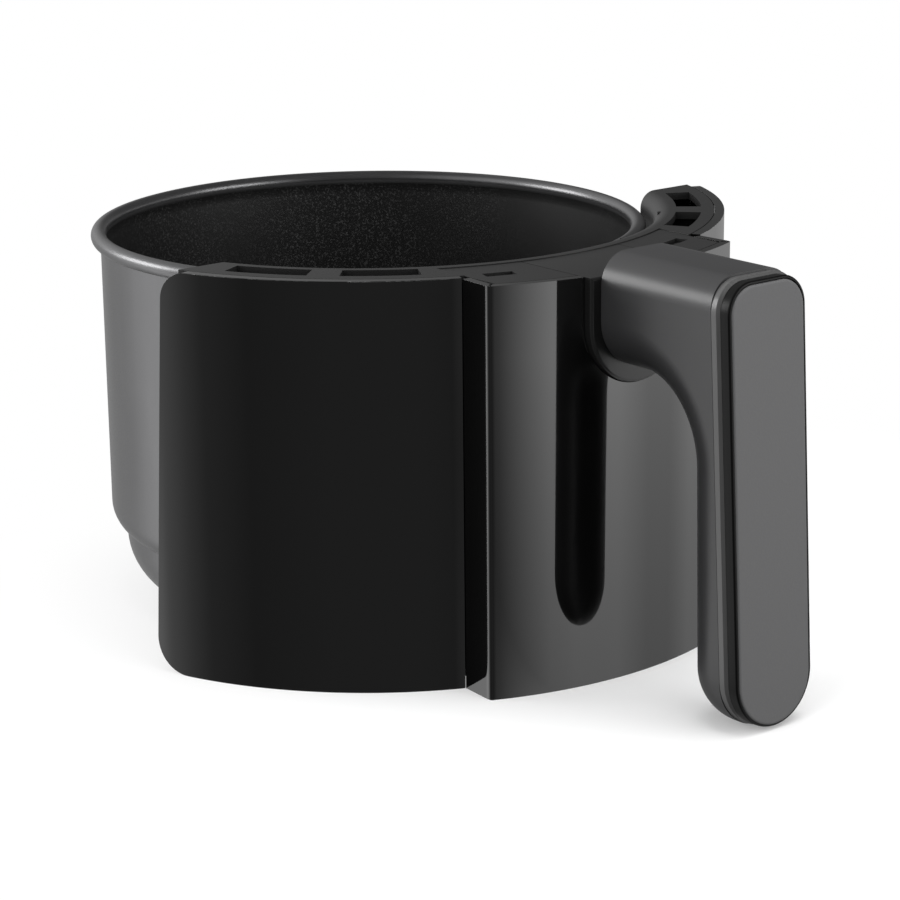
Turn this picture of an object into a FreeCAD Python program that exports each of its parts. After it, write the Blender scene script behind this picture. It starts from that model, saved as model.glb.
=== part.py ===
import FreeCAD, Part
import math
import os
import types

import Sketcher
from FreeCAD import Rotation, Vector

# Drawer of a round air fryer: non-stick pan, crisper plate, curved front and handle.
# Millimetres. Z is up, the pan stands on z = 0 and its axis is x = y = 0.
# The handle points along -Y, and the left side of the drawer is -X.

DIMENSIONS = (
    # name, size, what it is
    ("pan_radius", 97.4, "outside of the pan's upper wall"),
    ("pan_wall", 1.4, "sheet thickness of the pan"),
    ("bead_ring", 98.0, "radius of the rolled rim's centre line"),
    ("bead_radius", 2.8, "section radius of the rolled rim"),
    ("bead_height", 132.2, "height of the rolled rim's centre line"),
    ("shoulder_height", 33.0, "where the upper wall turns in to the shoulder"),
    ("shoulder_radius", 9.6, "outside radius of the shoulder"),
    ("lower_radius", 92.1, "outside of the pan's lower wall"),
    ("base_corner", 21.0, "outside radius between lower wall and base"),
    ("plate_radius", 93.4, "crisper plate"),
    ("plate_height", 29.0, "underside of the crisper plate"),
    ("plate_thickness", 1.4, "crisper plate sheet"),
    ("plate_hole", 2.6, "radius of a vent hole in the plate"),
    ("finger_hole", 12.5, "radius of the plate's middle hole"),
    ("front_centre", 4.9, "front covers' arc centre, this far towards the handle"),
    ("cover_radius", 125.4, "outside arc of the wing covers"),
    ("cover_wall", 3.3, "thickness of the wing covers"),
    ("front_height", 140.0, "top of the front"),
    ("joint_x", 52.7, "where wing covers meet the column"),
    ("wing_end_top", 43.8, "rear edge of a wing at its top, towards the handle"),
    ("wing_end_foot", 37.4, "rear edge of a wing at its foot"),
    ("wing_corner_top", 10.0, "rounding of a wing's upper rear corner"),
    ("wing_corner_foot", 12.0, "rounding of a wing's lower rear corner"),
    ("frame_inner", 100.0, "inner wall of the front frame, about the front centre"),
    ("frame_wall", 2.6, "wall of the front frame"),
    ("frame_outer", 121.8, "outer edge of the frame's decks"),
    ("frame_foot", 3.0, "underside of the front frame"),
    ("frame_end", 47.5, "rear end of the front frame, towards the handle"),
    ("lip_radius", 6.0, "rounding of the frame's inner top lip"),
    ("slot_inner", 108.2, "inner edge of the deck slots"),
    ("slot_outer", 117.2, "outer edge of the deck slots"),
    ("rib_half", 1.1, "half thickness of the frame's radial ribs"),
    ("column_radius", 130.3, "outside arc of the column"),
    ("column_centre", 14.0, "column's arc centre, this far towards the handle"),
    ("column_half", 53.6, "half width of the column at its front corners"),
    ("column_back", 118.8, "back edge of the column's side walls"),
    ("column_wall", 3.0, "wall of the column cover"),
    ("column_height", 139.7, "top of the column"),
    ("cap_thickness", 2.5, "column caps and collar top"),
    ("cap_arc", 113.2, "inner edge of the caps, about the pan's axis"),
    ("cap_half", 49.2, "outer edge of a cap from the middle"),
    ("collar_half", 21.3, "half width of the handle's collar"),
    ("collar_axis", 123.5, "height of the collar's round bottom centre"),
    ("collar_front", 146.0, "front of the collar, towards the handle"),
    ("collar_back", 122.4, "back of the collar, towards the handle"),
    ("fit", 0.3, "gap between neighbouring mouldings"),
    ("grip_half", 17.6, "half width of the neck and grip"),
    ("neck_root", 146.2, "where the neck leaves the collar"),
    ("neck_top", 147.4, "top of the neck and grip"),
    ("neck_bottom", 108.5, "underside of the neck"),
    ("grip_back_foot", 183.5, "back of the grip, extended to the floor"),
    ("back_lean", 1.4, "degrees that the grip's back leans out towards the floor"),
    ("grip_foot", 0.4, "lowest point of the grip"),
    ("bend_radius", 25.0, "inner bend between neck and grip"),
    ("back_rounding", 17.0, "rounding of the grip's back edges"),
    ("top_rounding", 10.5, "rounding of the grip's top edges"),
    ("front_foot", 211.6, "face of the pad, extended to the floor"),
    ("front_lean", 3.2, "degrees that the face leans out towards the floor"),
    ("shell_depth", 7.5, "grip shell ends this far behind the face"),
    ("ring_depth", 4.2, "trim ring ends this far behind the face"),
    ("bezel_depth", 0.4, "bezel ends this far behind the face"),
    ("grip_wall", 3.0, "wall of the neck and grip"),
    ("pad_half", 15.6, "half width of the front pad"),
    ("pad_foot", 1.9, "lowest point of the pad, along the face"),
    ("pad_top", 145.3, "highest point of the pad, along the face"),
    ("pad_depth", 2.1, "thickness of the front pad"),
    ("pad_rounding", 0.8, "rounding of the pad's edge"),
    ("tray_depth", 1.8, "depth of the bezel's tray for the pad"),
    ("bezel_rounding", 0.7, "rounding of the bezel's edge"),
    ("ring_bevel", 0.9, "bevel on the trim ring's front edge"),
    ("ring_width", 4.5, "width of the trim ring's face"),
    ("tongue_half", 12.0, "half width of the neck's tongue"),
    ("tongue_low", 114.0, "underside of the tongue"),
    ("tongue_high", 133.0, "top of the tongue"),
    ("post_radius", 4.2, "screw posts inside the grip"),
    ("grip_web_half", 1.2, "half thickness of the web that carries the upper post"),
    ("bracket_low", 54.0, "underside of the pan's bracket"),
    ("bracket_high", 96.0, "top of the pan's bracket"),
    ("bracket_sheet", 1.8, "bracket sheet"),
    ("bracket_half", 21.0, "half width of the bracket's raised face"),
    ("bracket_angle", 27.0, "how far the bracket's strap goes round, each side"),
    ("frame_screw_x", 12.0, "frame screws, from the middle"),
    ("frame_screw_low", 64.0, "lower pair of frame screws"),
    ("frame_screw_high", 86.0, "upper pair of frame screws"),
    ("frame_boss", 4.0, "radius of the frame screws' bosses"),
    ("bumper_half", 5.5, "half width of a silicone bumper"),
    ("plate_edge", 6.0, "height of the crisper plate's turned-up edge"),
    ("deck", 2.6, "thickness of the frame's decks"),
    ("seat_half", 16.0, "half width of the handle's seat on the frame"),
    ("seat_front", 119.2, "front of the seat, towards the handle"),
    ("seat_low", 110.0, "underside of the seat"),
    ("seat_high", 133.0, "top of the seat"),
    ("handle_screw_x", 8.0, "handle screws, from the middle"),
    ("handle_screw_height", 121.0, "height of the handle screws"),
    ("handle_shank", 1.95, "radius of the handle screws"),
    ("handle_head", 3.4, "radius of the handle screws' heads"),
    ("load_plate_sheet", 1.5, "steel plate under the handle screws' heads"),
    ("load_plate_half", 14.0, "half width of that plate"),
    ("hook_half", 4.2, "half width of a snap hook"),
    ("hook_sheet", 2.0, "thickness of a snap hook"),
    ("hook_length", 16.0, "height of a snap hook"),
    ("window_half", 5.2, "half length of a cap's window"),
    ("window_width", 4.6, "width of a cap's window"),
    ("column_rounding", 1.4, "rounding of the column's front corners"),
    ("collar_rounding", 1.2, "rounding of the collar's front edge"),
    ("column_screw_x", 40.0, "column screws, from the middle"),
    ("column_screw_y", 131.5, "column screws, towards the handle"),
    ("wing_boss", 3.6, "radius of the wing covers' screw bosses"),
    ("column_boss", 3.8, "radius of the column's screw bosses"),
    ("screw_shank", 1.45, "radius of the small screws"),
    ("screw_head", 2.9, "radius of the small screws' heads"),
    ("screw_rise", 1.8, "height of the small screws' heads"),
    ("near", 0.05, "gap between pieces that are fastened face to face"),
)

doc = FreeCAD.newDocument("air_fryer_drawer")


class Size:
    """A size that carries its number and the sheet expression that gives it."""

    def __init__(self, number, text):
        self.number = number
        self.text = text

    def __add__(self, other):
        other = size(other)
        return Size(self.number + other.number, f"({self.text} + {other.text})")

    def __sub__(self, other):
        other = size(other)
        return Size(self.number - other.number, f"({self.text} - {other.text})")

    def __mul__(self, other):
        other = size(other)
        return Size(self.number * other.number, f"({self.text} * {other.text})")

    def __truediv__(self, other):
        other = size(other)
        return Size(self.number / other.number, f"({self.text} / {other.text})")

    def __neg__(self):
        return Size(-self.number, f"(0 - {self.text})")

    __radd__ = __add__
    __rmul__ = __mul__

    def __rsub__(self, other):
        return size(other) - self


def size(value):
    """Any number as a Size."""
    if isinstance(value, Size):
        return value
    return Size(float(value), f"{float(value):.6f}")


def leg(hypotenuse, other_leg):
    """Third side of a right triangle."""
    long_side = size(hypotenuse)
    short_side = size(other_leg)
    number = math.sqrt(long_side.number ** 2 - short_side.number ** 2)
    return Size(number, f"sqrt({long_side.text} ^ 2 - {short_side.text} ^ 2)")


def sine(degrees):
    angle = size(degrees)
    return Size(math.sin(math.radians(angle.number)), f"sin({angle.text} * 1 deg)")


def cosine(degrees):
    angle = size(degrees)
    return Size(math.cos(math.radians(angle.number)), f"cos({angle.text} * 1 deg)")


def tangent(degrees):
    angle = size(degrees)
    return Size(math.tan(math.radians(angle.number)), f"tan({angle.text} * 1 deg)")


def make_sheet():
    """The driving dimensions as a spreadsheet, and as named sizes."""
    sheet = doc.addObject("Spreadsheet::Sheet", "dims")
    names = {}
    for row, (name, number, note) in enumerate(DIMENSIONS, start=1):
        sheet.set(f"A{row}", name)
        sheet.set(f"B{row}", str(number))
        sheet.set(f"C{row}", note)
        sheet.setAlias(f"B{row}", name)
        names[name] = Size(number, f"dims.{name}")
    doc.recompute()
    return types.SimpleNamespace(**names)


D = make_sheet()


# ---- small builders -----------------------------------------------------------------

def bind(thing, **sizes):
    """Binds properties to sizes: bind(box, Length=D.pan_wall)."""
    for name, value in sizes.items():
        thing.setExpression(name, size(value).text)


def put(thing, x=0, y=0, z=0, turn=None):
    """Binds a thing's place, after an optional turn."""
    if turn is not None:
        thing.Placement = FreeCAD.Placement(Vector(0, 0, 0), turn)
    thing.setExpression("Placement.Base.x", size(x).text)
    thing.setExpression("Placement.Base.y", size(y).text)
    thing.setExpression("Placement.Base.z", size(z).text)
    return thing


def box(label, low, high):
    """A box between two corners."""
    thing = doc.addObject("Part::Box", label)
    bind(thing, Length=high[0] - size(low[0]), Width=high[1] - size(low[1]), Height=high[2] - size(low[2]))
    return put(thing, *low)


def rod(label, centre, radius, length, axis=Vector(0, 0, 1)):
    """A cylinder from a centre along an axis."""
    thing = doc.addObject("Part::Cylinder", label)
    bind(thing, Radius=radius, Height=length)
    return put(thing, *centre, turn=Rotation(Vector(0, 0, 1), axis))


def sector(label, centre_y, radius, low, high, start, end):
    """A pie slice of a disc. Angles are from the handle's direction, positive towards +X."""
    thing = doc.addObject("Part::Cylinder", label)
    bind(thing, Radius=radius, Height=size(high) - low, Angle=size(end) - start)
    turn = Rotation(Vector(0, 0, 1), size(start).number - 90)
    return put(thing, 0, centre_y, low, turn=turn)


def radial_box(label, degrees, start, length, half, low, high, centre_y=0):
    """A block that points away from a centre. Its angle is from the handle's direction."""
    thing = doc.addObject("Part::Box", label)
    bind(thing, Length=length, Width=2 * half, Height=high - low)
    x = start * sine(degrees) - half * cosine(degrees)
    y = centre_y - start * cosine(degrees) - half * sine(degrees)
    return put(thing, x, y, low, turn=Rotation(Vector(0, 0, 1), size(degrees).number - 90))


def cut(label, base, tool):
    thing = doc.addObject("Part::Cut", label)
    thing.Base = base
    thing.Tool = tool
    return thing


def fuse(label, shapes):
    thing = doc.addObject("Part::MultiFuse", label)
    thing.Shapes = shapes
    return thing


def common(label, first, second):
    thing = doc.addObject("Part::Common", label)
    thing.Base = first
    thing.Tool = second
    return thing


def group(label, shapes):
    """Several separate solids as one sub-part."""
    thing = doc.addObject("Part::Compound", label)
    thing.Links = shapes
    return thing


def mirrored(label, source):
    """The same thing on the other side of the drawer's middle plane."""
    thing = doc.addObject("Part::Mirroring", label)
    thing.Source = source
    thing.Base = Vector(0, 0, 0)
    thing.Normal = Vector(1, 0, 0)
    return thing


def new_body(label):
    return doc.addObject("PartDesign::Body", label)


def plane_sketch(body, name, role):
    """A sketch on one of the body's own origin planes."""
    sketch = body.newObject("Sketcher::SketchObject", name)
    plane = [item for item in body.Origin.OriginFeatures if item.Role == role][0]
    sketch.AttachmentSupport = [(plane, "")]
    sketch.MapMode = "FlatFace"
    return sketch


def hold(sketch, kind, *where_and_size):
    """Adds one dimension to a sketch and binds it to its size."""
    *where, value = where_and_size
    value = size(value)
    index = sketch.addConstraint(Sketcher.Constraint(kind, *where, value.number))
    sketch.setExpression(f"Constraints[{index}]", value.text)


def hold_point(sketch, geometry, which, x, y):
    """Fixes a point of a sketch by its two distances from the origin."""
    hold(sketch, "DistanceX", -1, 1, geometry, which, x)
    hold(sketch, "DistanceY", -1, 1, geometry, which, y)


def outline(sketch, corners):
    """A closed outline. A corner is (x, y), or (x, y, centre x, centre y, turn) where an
    arc arrives at it, turn +1 for anticlockwise and -1 for clockwise."""
    points = [(size(corner[0]), size(corner[1])) for corner in corners]
    count = len(corners)
    for index in range(count):
        start = Vector(points[index - 1][0].number, points[index - 1][1].number, 0)
        end = Vector(points[index][0].number, points[index][1].number, 0)
        if len(corners[index]) == 2:
            sketch.addGeometry(Part.LineSegment(start, end))
            continue
        middle = Vector(size(corners[index][2]).number, size(corners[index][3]).number, 0)
        circle = Part.Circle(middle, Vector(0, 0, 1), (start - middle).Length)
        first, last = (start, end) if corners[index][4] > 0 else (end, start)
        low = math.atan2(first.y - middle.y, first.x - middle.x)
        high = math.atan2(last.y - middle.y, last.x - middle.x)
        high += 2 * math.pi if high <= low else 0
        sketch.addGeometry(Part.ArcOfCircle(circle, low, high))
    for index in range(count):
        following = (index + 1) % count
        end_here = end_of(corners[index])
        start_next = 3 - end_of(corners[following])
        sketch.addConstraint(Sketcher.Constraint("Coincident", index, end_here, following, start_next))
        hold_point(sketch, index, end_here, *points[index])
        if len(corners[index]) > 2:
            chord_x = abs(points[index][0].number - points[index - 1][0].number)
            chord_y = abs(points[index][1].number - points[index - 1][1].number)
            if chord_y > chord_x:
                hold(sketch, "DistanceX", -1, 1, index, 3, corners[index][2])
            else:
                hold(sketch, "DistanceY", -1, 1, index, 3, corners[index][3])


def end_of(corner):
    """Which end of its edge a corner is: an arc drawn clockwise ends at its first point."""
    return 1 if len(corner) > 2 and corner[4] < 0 else 2


def circle(sketch, x, y, radius):
    index = sketch.addGeometry(Part.Circle(Vector(size(x).number, size(y).number, 0),
                                           Vector(0, 0, 1), size(radius).number))
    hold_point(sketch, index, 3, x, y)
    hold(sketch, "Radius", index, radius)


def pad(body, sketch, length, both_ways=False, flipped=False):
    feature = body.newObject("PartDesign::Pad", f"{sketch.Name}_pad")
    feature.Profile = sketch
    feature.SideType = "Symmetric" if both_ways else "One side"
    feature.Reversed = flipped
    bind(feature, Length=length)
    sketch.Visibility = False
    return feature


def pocket(body, sketch, length, both_ways=False, flipped=False):
    feature = body.newObject("PartDesign::Pocket", f"{sketch.Name}_pocket")
    feature.Profile = sketch
    feature.SideType = "Symmetric" if both_ways else "One side"
    feature.Reversed = flipped
    bind(feature, Length=length)
    return feature


def revolve(body, sketch):
    """Turns a sketch all the way round its own vertical axis."""
    feature = body.newObject("PartDesign::Revolution", f"{sketch.Name}_revolution")
    feature.Profile = sketch
    feature.ReferenceAxis = (sketch, ["V_Axis"])
    feature.Angle = 360
    return feature


def round_edges(body, base, name, radius, wanted):
    """Fillets the edges of a feature that the wanted function picks."""
    doc.recompute()
    picked = [f"Edge{number}" for number, edge in enumerate(base.Shape.Edges, start=1) if wanted(edge)]
    feature = body.newObject("PartDesign::Fillet", name)
    feature.Base = (base, picked)
    bind(feature, Radius=radius)
    return feature


def polar(radius, degrees):
    """Place on an arc about the front centre: angle from the handle's direction."""
    return size(radius) * sine(degrees), -(size(radius) * cosine(degrees)) - D.front_centre


# ---- pan ----------------------------------------------------------------------------

def make_pan():
    """Pressed pan: rolled rim, upper wall, shoulder, lower wall and flat base."""
    body = new_body("pan")
    sketch = plane_sketch(body, "pan_profile", "XZ_Plane")
    shoulder_x = D.pan_radius - D.shoulder_radius
    inner_x = D.pan_radius - D.pan_wall
    lower_inner = D.lower_radius - D.pan_wall
    corner_x = D.lower_radius - D.base_corner
    outer_crease = D.shoulder_height - leg(D.shoulder_radius, D.lower_radius - shoulder_x)
    inner_crease = D.shoulder_height - leg(D.shoulder_radius - D.pan_wall, lower_inner - shoulder_x)
    bead_outside = D.bead_height - leg(D.bead_radius, D.bead_ring - D.pan_radius)
    bead_inside = D.bead_height - leg(D.bead_radius, D.bead_ring - inner_x)
    outline(sketch, (
        (0, 0),
        (corner_x, 0),
        (D.lower_radius, D.base_corner, corner_x, D.base_corner, 1),
        (D.lower_radius, outer_crease),
        (D.pan_radius, D.shoulder_height, shoulder_x, D.shoulder_height, 1),
        (D.pan_radius, bead_outside),
        (inner_x, bead_inside, D.bead_ring, D.bead_height, 1),
        (inner_x, D.shoulder_height),
        (lower_inner, inner_crease, shoulder_x, D.shoulder_height, -1),
        (lower_inner, D.base_corner),
        (corner_x, D.pan_wall, corner_x, D.base_corner, -1),
        (0, D.pan_wall),
    ))
    revolve(body, sketch)
    return body


FRAME_SCREW_SIDES = (("left", -D.frame_screw_x), ("right", D.frame_screw_x))
FRAME_SCREW_HEIGHTS = (D.frame_screw_low, D.frame_screw_high)


def make_pan_bracket():
    """Steel hat bracket welded to the pan's front. Its raised face follows the frame's wall."""
    strap_inner = D.pan_radius + D.near
    low, high = D.bracket_low, D.bracket_high
    strap = sector("bracket_strap", 0, strap_inner + D.bracket_sheet, low, high,
                   -D.bracket_angle, D.bracket_angle)
    face_radius = D.frame_inner - D.near
    hat = common("bracket_hat",
                 box("bracket_hat_box", (-D.bracket_half, -D.cover_radius, low),
                     (D.bracket_half, -(D.pan_radius - 4.0), high)),
                 rod("bracket_hat_disc", (0, -D.front_centre, low), face_radius, high - low))
    inside = common("bracket_inside",
                    box("bracket_inside_box", (-D.bracket_half + D.bracket_sheet, -D.cover_radius, low - 1),
                        (D.bracket_half - D.bracket_sheet, -(strap_inner - 4.0), high + 1)),
                    rod("bracket_inside_disc", (0, -D.front_centre, low - 1), face_radius - D.bracket_sheet,
                        high - low + 2))
    shell = fuse("bracket_blank", [strap, cut("bracket_hat_shell", hat, inside)])
    holes = fuse("bracket_tools", [
        rod(f"bracket_hole_{side}_{level}", (x, -D.pan_radius - 3.0, height),
            D.screw_shank + D.near, 6.0, Vector(0, -1, 0))
        for side, x in FRAME_SCREW_SIDES
        for level, height in enumerate(FRAME_SCREW_HEIGHTS)]
        + [rod("bracket_bore", (0, 0, low - 1), strap_inner, high - low + 2)])
    return cut("pan_bracket", shell, holes)


# ---- crisper plate ------------------------------------------------------------------

HOLE_RINGS = ((24.0, 10), (37.0, 16), (50.0, 22), (63.0, 28), (76.0, 34))
BUMPER_ANGLES = (45.0, 135.0, 225.0, 315.0)


def make_crisper_plate():
    """Perforated plate with a turned-up edge and a finger hole in the middle."""
    body = new_body("crisper_plate")
    disc = plane_sketch(body, "plate_profile", "XZ_Plane")
    top = D.plate_height + D.plate_thickness
    edge_top = D.plate_height + D.plate_edge
    edge_inner = D.plate_radius - D.plate_thickness
    outline(disc, (
        (D.finger_hole, D.plate_height),
        (D.plate_radius, D.plate_height),
        (D.plate_radius, edge_top),
        (edge_inner, edge_top),
        (edge_inner, top),
        (D.finger_hole, top),
    ))
    revolve(body, disc)
    holes = plane_sketch(body, "plate_holes", "XY_Plane")
    for ring_radius, count in HOLE_RINGS:
        for step in range(count):
            angle = 360.0 * (step + 0.5) / count
            circle(holes, size(ring_radius) * cosine(angle), size(ring_radius) * sine(angle), D.plate_hole)
    pocket(body, holes, D.plate_height + 20.0, flipped=True)
    return body


def make_crisper_bumpers():
    """Four silicone bumpers that clip over the plate's edge."""
    body = new_body("bumper_ring")
    sketch = plane_sketch(body, "bumper_profile", "XZ_Plane")
    grip = D.near
    edge_top = D.plate_height + D.plate_edge + grip
    low = D.plate_height - 1.7
    inner = D.plate_radius - D.plate_thickness - 1.6
    outer = D.plate_radius + 2.1
    slot_inner = D.plate_radius - D.plate_thickness - grip
    slot_outer = D.plate_radius + grip
    top = D.plate_height + 7.6
    outline(sketch, (
        (inner, top),
        (inner, D.plate_height + D.plate_thickness + grip),
        (slot_inner, D.plate_height + D.plate_thickness + grip),
        (slot_inner, edge_top),
        (slot_outer, edge_top),
        (slot_outer, D.plate_height - grip),
        (inner, D.plate_height - grip),
        (inner, low),
        (D.plate_radius - 0.4, low),
        (outer, D.plate_height + 2.2),
        (outer, top),
    ))
    revolve(body, sketch)
    pieces = [common(f"bumper_{number}", body,
                     radial_box(f"bumper_block_{number}", angle, D.plate_radius - 30.0, 60.0, D.bumper_half,
                                size(0), top + 1))
              for number, angle in enumerate(BUMPER_ANGLES, start=1)]
    return group("crisper_bumpers", pieces)


# ---- front frame --------------------------------------------------------------------

SIDES = (("left", -1), ("right", 1))
SLOT_ANGLES = ((30.3, 43.3), (48.6, 62.4))
HOOK_ANGLE = 18.5
RIB_ANGLES = (HOOK_ANGLE, 45.9)
BOSS_ANGLES = (36.8, 55.5)
BOSS_HEIGHTS = (24.0, 112.0)
HANDLE_SCREW_SIDES = (("left", -D.handle_screw_x), ("right", D.handle_screw_x))
COLUMN_SCREW_SIDES = (("left", -D.column_screw_x), ("right", D.column_screw_x))


def frame_ring(label, corners):
    """A profile of radius and height turned about the front centre."""
    body = new_body(label)
    sketch = plane_sketch(body, f"{label}_profile", "XZ_Plane")
    outline(sketch, corners)
    revolve(body, sketch)
    body.Placement = FreeCAD.Placement(Vector(0, -D.front_centre.number, 0), Rotation())
    body.setExpression("Placement.Base.y", (-D.front_centre).text)
    return body


def make_front_frame():
    """Inner moulding of the front: curved wall, slotted top deck, foot deck, ribs and seats."""
    lip_x = D.frame_inner + D.lip_radius
    lip_z = D.front_height - D.lip_radius
    outside = frame_ring("frame_block", (
        (D.frame_inner, D.frame_foot),
        (D.frame_outer, D.frame_foot),
        (D.frame_outer, D.front_height),
        (lip_x, D.front_height),
        (D.frame_inner, lip_z, lip_x, lip_z, 1),
    ))
    hollow_inner = D.frame_inner + D.frame_wall
    hollow_top = D.front_height - D.deck
    beyond = D.frame_outer + 10.0
    hollow = frame_ring("frame_hollow", (
        (hollow_inner, D.frame_foot + D.deck),
        (beyond, D.frame_foot + D.deck),
        (beyond, hollow_top),
        (lip_x, hollow_top),
        (hollow_inner, lip_z, lip_x, lip_z, 1),
    ))
    far = 200.0
    front_half = box("frame_front_half", (-far, -far, -1), (far, -D.frame_end, far))
    hollow_half = box("frame_hollow_half", (-far, -far, -1), (far, -D.frame_end - D.deck, far))
    solid = common("frame_solid", outside, front_half)
    hollowed = cut("frame_hollowed", solid, common("frame_hollow_front", hollow, hollow_half))

    ribs = [radial_box(f"frame_rib_{number}_{side}", sign * angle, D.frame_inner + 1.5,
                       D.frame_outer - D.frame_inner - 2.0, D.rib_half, D.frame_foot + 1,
                       D.front_height - 1, centre_y=-D.front_centre)
            for side, sign in SIDES
            for number, angle in enumerate(RIB_ANGLES)]
    floor_plate = common("column_floor",
                         box("column_floor_box", (-D.cap_half, -D.column_radius - 20, D.frame_foot),
                             (D.cap_half, -D.frame_inner - D.front_centre - 1, D.frame_foot + D.deck)),
                         rod("column_floor_disc", (0, -D.column_centre, D.frame_foot),
                             D.column_radius - D.column_wall - D.fit, D.deck))
    seat = box("handle_seat", (-D.seat_half, -D.seat_front, D.seat_low),
               (D.seat_half, -seat_back(), D.seat_high))
    boss_back = D.frame_inner + D.front_centre + 0.3
    bosses = [rod(f"frame_boss_{side}_{level}", (x, -boss_back, height), D.frame_boss,
                  frame_screw_seat() - D.near - boss_back, Vector(0, -1, 0))
              for side, x in FRAME_SCREW_SIDES
              for level, height in enumerate(FRAME_SCREW_HEIGHTS)]
    joined = fuse("frame_joined", [hollowed, floor_plate, seat] + ribs + bosses)

    tools = []
    for side, sign in SIDES:
        for number, (start, end) in enumerate(SLOT_ANGLES):
            low, high = sorted((sign * start, sign * end))
            name = f"{number}_{side}"
            tools.append(cut(f"slot_{name}",
                             sector(f"slot_slice_{name}", -D.front_centre, D.slot_outer,
                                    D.front_height - 8.0, D.front_height + 1.0, low, high),
                             rod(f"slot_core_{name}", (0, -D.front_centre, D.front_height - 9.0),
                                 D.slot_inner, 12.0)))
        for number, angle in enumerate(BOSS_ANGLES):
            for level, height in enumerate(BOSS_HEIGHTS):
                x, y = polar(D.frame_inner - 4.0, sign * angle)
                tools.append(rod(f"wing_hole_{number}_{level}_{side}", (x, y, height),
                                 D.screw_shank + 0.15, 10.0, outward(sign * angle)))
    cap_seat = cut("cap_seat",
                   box("cap_seat_box", (-D.cap_half - D.fit, -D.column_radius - 20,
                                        D.column_height - D.cap_thickness - 0.2),
                       (D.cap_half + D.fit, -60.0, D.front_height + 5)),
                   rod("cap_seat_core", (0, 0, D.front_height - 10), D.cap_arc - D.fit, 20))
    frame_holes = [rod(f"frame_hole_{side}_{level}", (x, -D.frame_inner, height),
                       D.screw_shank + 0.15, 20, Vector(0, -1, 0))
                   for side, x in FRAME_SCREW_SIDES
                   for level, height in enumerate(FRAME_SCREW_HEIGHTS)]
    handle_holes = [rod(f"seat_hole_{side}", (x, -D.frame_inner, D.handle_screw_height),
                        D.handle_shank + 0.15, 30, Vector(0, -1, 0))
                    for side, x in HANDLE_SCREW_SIDES]
    column_holes = [rod(f"floor_hole_{side}", (x, -D.column_screw_y, 0), D.screw_shank + 0.15, 10.0)
                    for side, x in COLUMN_SCREW_SIDES]
    tools += [cap_seat] + frame_holes + handle_holes + column_holes
    moulding = cut("frame_moulding", joined, fuse("frame_tools", tools))
    return fuse("front_frame", [moulding] + make_hooks())


def frame_screw_seat():
    """Where the frame screws' heads sit, towards the handle."""
    return D.frame_inner + D.frame_wall + D.front_centre - 0.2


def outward(degrees):
    """Direction away from the front centre, at an angle from the handle's direction."""
    return Vector(math.sin(math.radians(degrees)), -math.cos(math.radians(degrees)), 0)


def make_hooks():
    """Snap hooks on the frame that stand in the caps' windows."""
    top = D.column_height - 1.2
    return [radial_box(f"hook_{side}", sign * HOOK_ANGLE, D.frame_outer - 1.0, D.hook_sheet, D.hook_half,
                       top - D.hook_length, top, centre_y=-D.front_centre)
            for side, sign in SIDES]


def make_wing_covers():
    """Curved outer covers of the front, one each side, with screw bosses inside."""
    shell = cut("wing_ring",
                rod("wing_disc", (0, -D.front_centre, 0), D.cover_radius, D.front_height),
                rod("wing_bore", (0, -D.front_centre, -1), D.cover_radius - D.cover_wall, D.front_height + 2))
    body = new_body("wing_outline")
    sketch = plane_sketch(body, "wing_side", "YZ_Plane")
    lean = (D.wing_end_top - D.wing_end_foot) / D.front_height
    top_y = -D.wing_end_top
    foot_y = -D.wing_end_foot
    outline(sketch, (
        (-150.0, 0),
        (foot_y - D.wing_corner_foot, 0),
        (foot_y - lean * D.wing_corner_foot, D.wing_corner_foot,
         foot_y - D.wing_corner_foot, D.wing_corner_foot, 1),
        (top_y + lean * D.wing_corner_top, D.front_height - D.wing_corner_top),
        (top_y - D.wing_corner_top, D.front_height,
         top_y - D.wing_corner_top, D.front_height - D.wing_corner_top, 1),
        (-150.0, D.front_height),
    ))
    pad(body, sketch, 140.0)
    right_half = box("wing_half", (D.joint_x, -150, -1), (140, 0, D.front_height + 1))
    skin = common("wing_skin", common("wing_sheet", shell, body), right_half)
    bosses = []
    pilots = []
    length = D.cover_radius - D.cover_wall - D.frame_inner - D.frame_wall + 0.5
    for number, angle in enumerate(BOSS_ANGLES):
        for level, height in enumerate(BOSS_HEIGHTS):
            x, y = polar(D.frame_inner + D.frame_wall + D.fit, angle)
            bosses.append(rod(f"wing_boss_{number}_{level}", (x, y, height), D.wing_boss, length,
                              outward(angle)))
            pilots.append(rod(f"wing_pilot_{number}_{level}", (x, y, height), D.screw_shank + D.near, 13.0,
                              outward(angle)))
    right = cut("right_wing_cover", fuse("wing_joined", [skin] + bosses), fuse("wing_pilots", pilots))
    return [right, mirrored("left_wing_cover", right)]


# ---- column -------------------------------------------------------------------------

def column_outline(sketch, inset, back):
    """Plan of the column: curved front between two side walls, moved in by inset."""
    half = D.column_half - inset
    radius = D.column_radius - inset
    front_y = -leg(radius, half) - D.column_centre
    back_half = D.joint_x - 0.2 - inset
    outline(sketch, (
        (-back_half, back),
        (-half, front_y),
        (half, front_y, 0, -D.column_centre, 1),
        (back_half, back),
    ))


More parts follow.
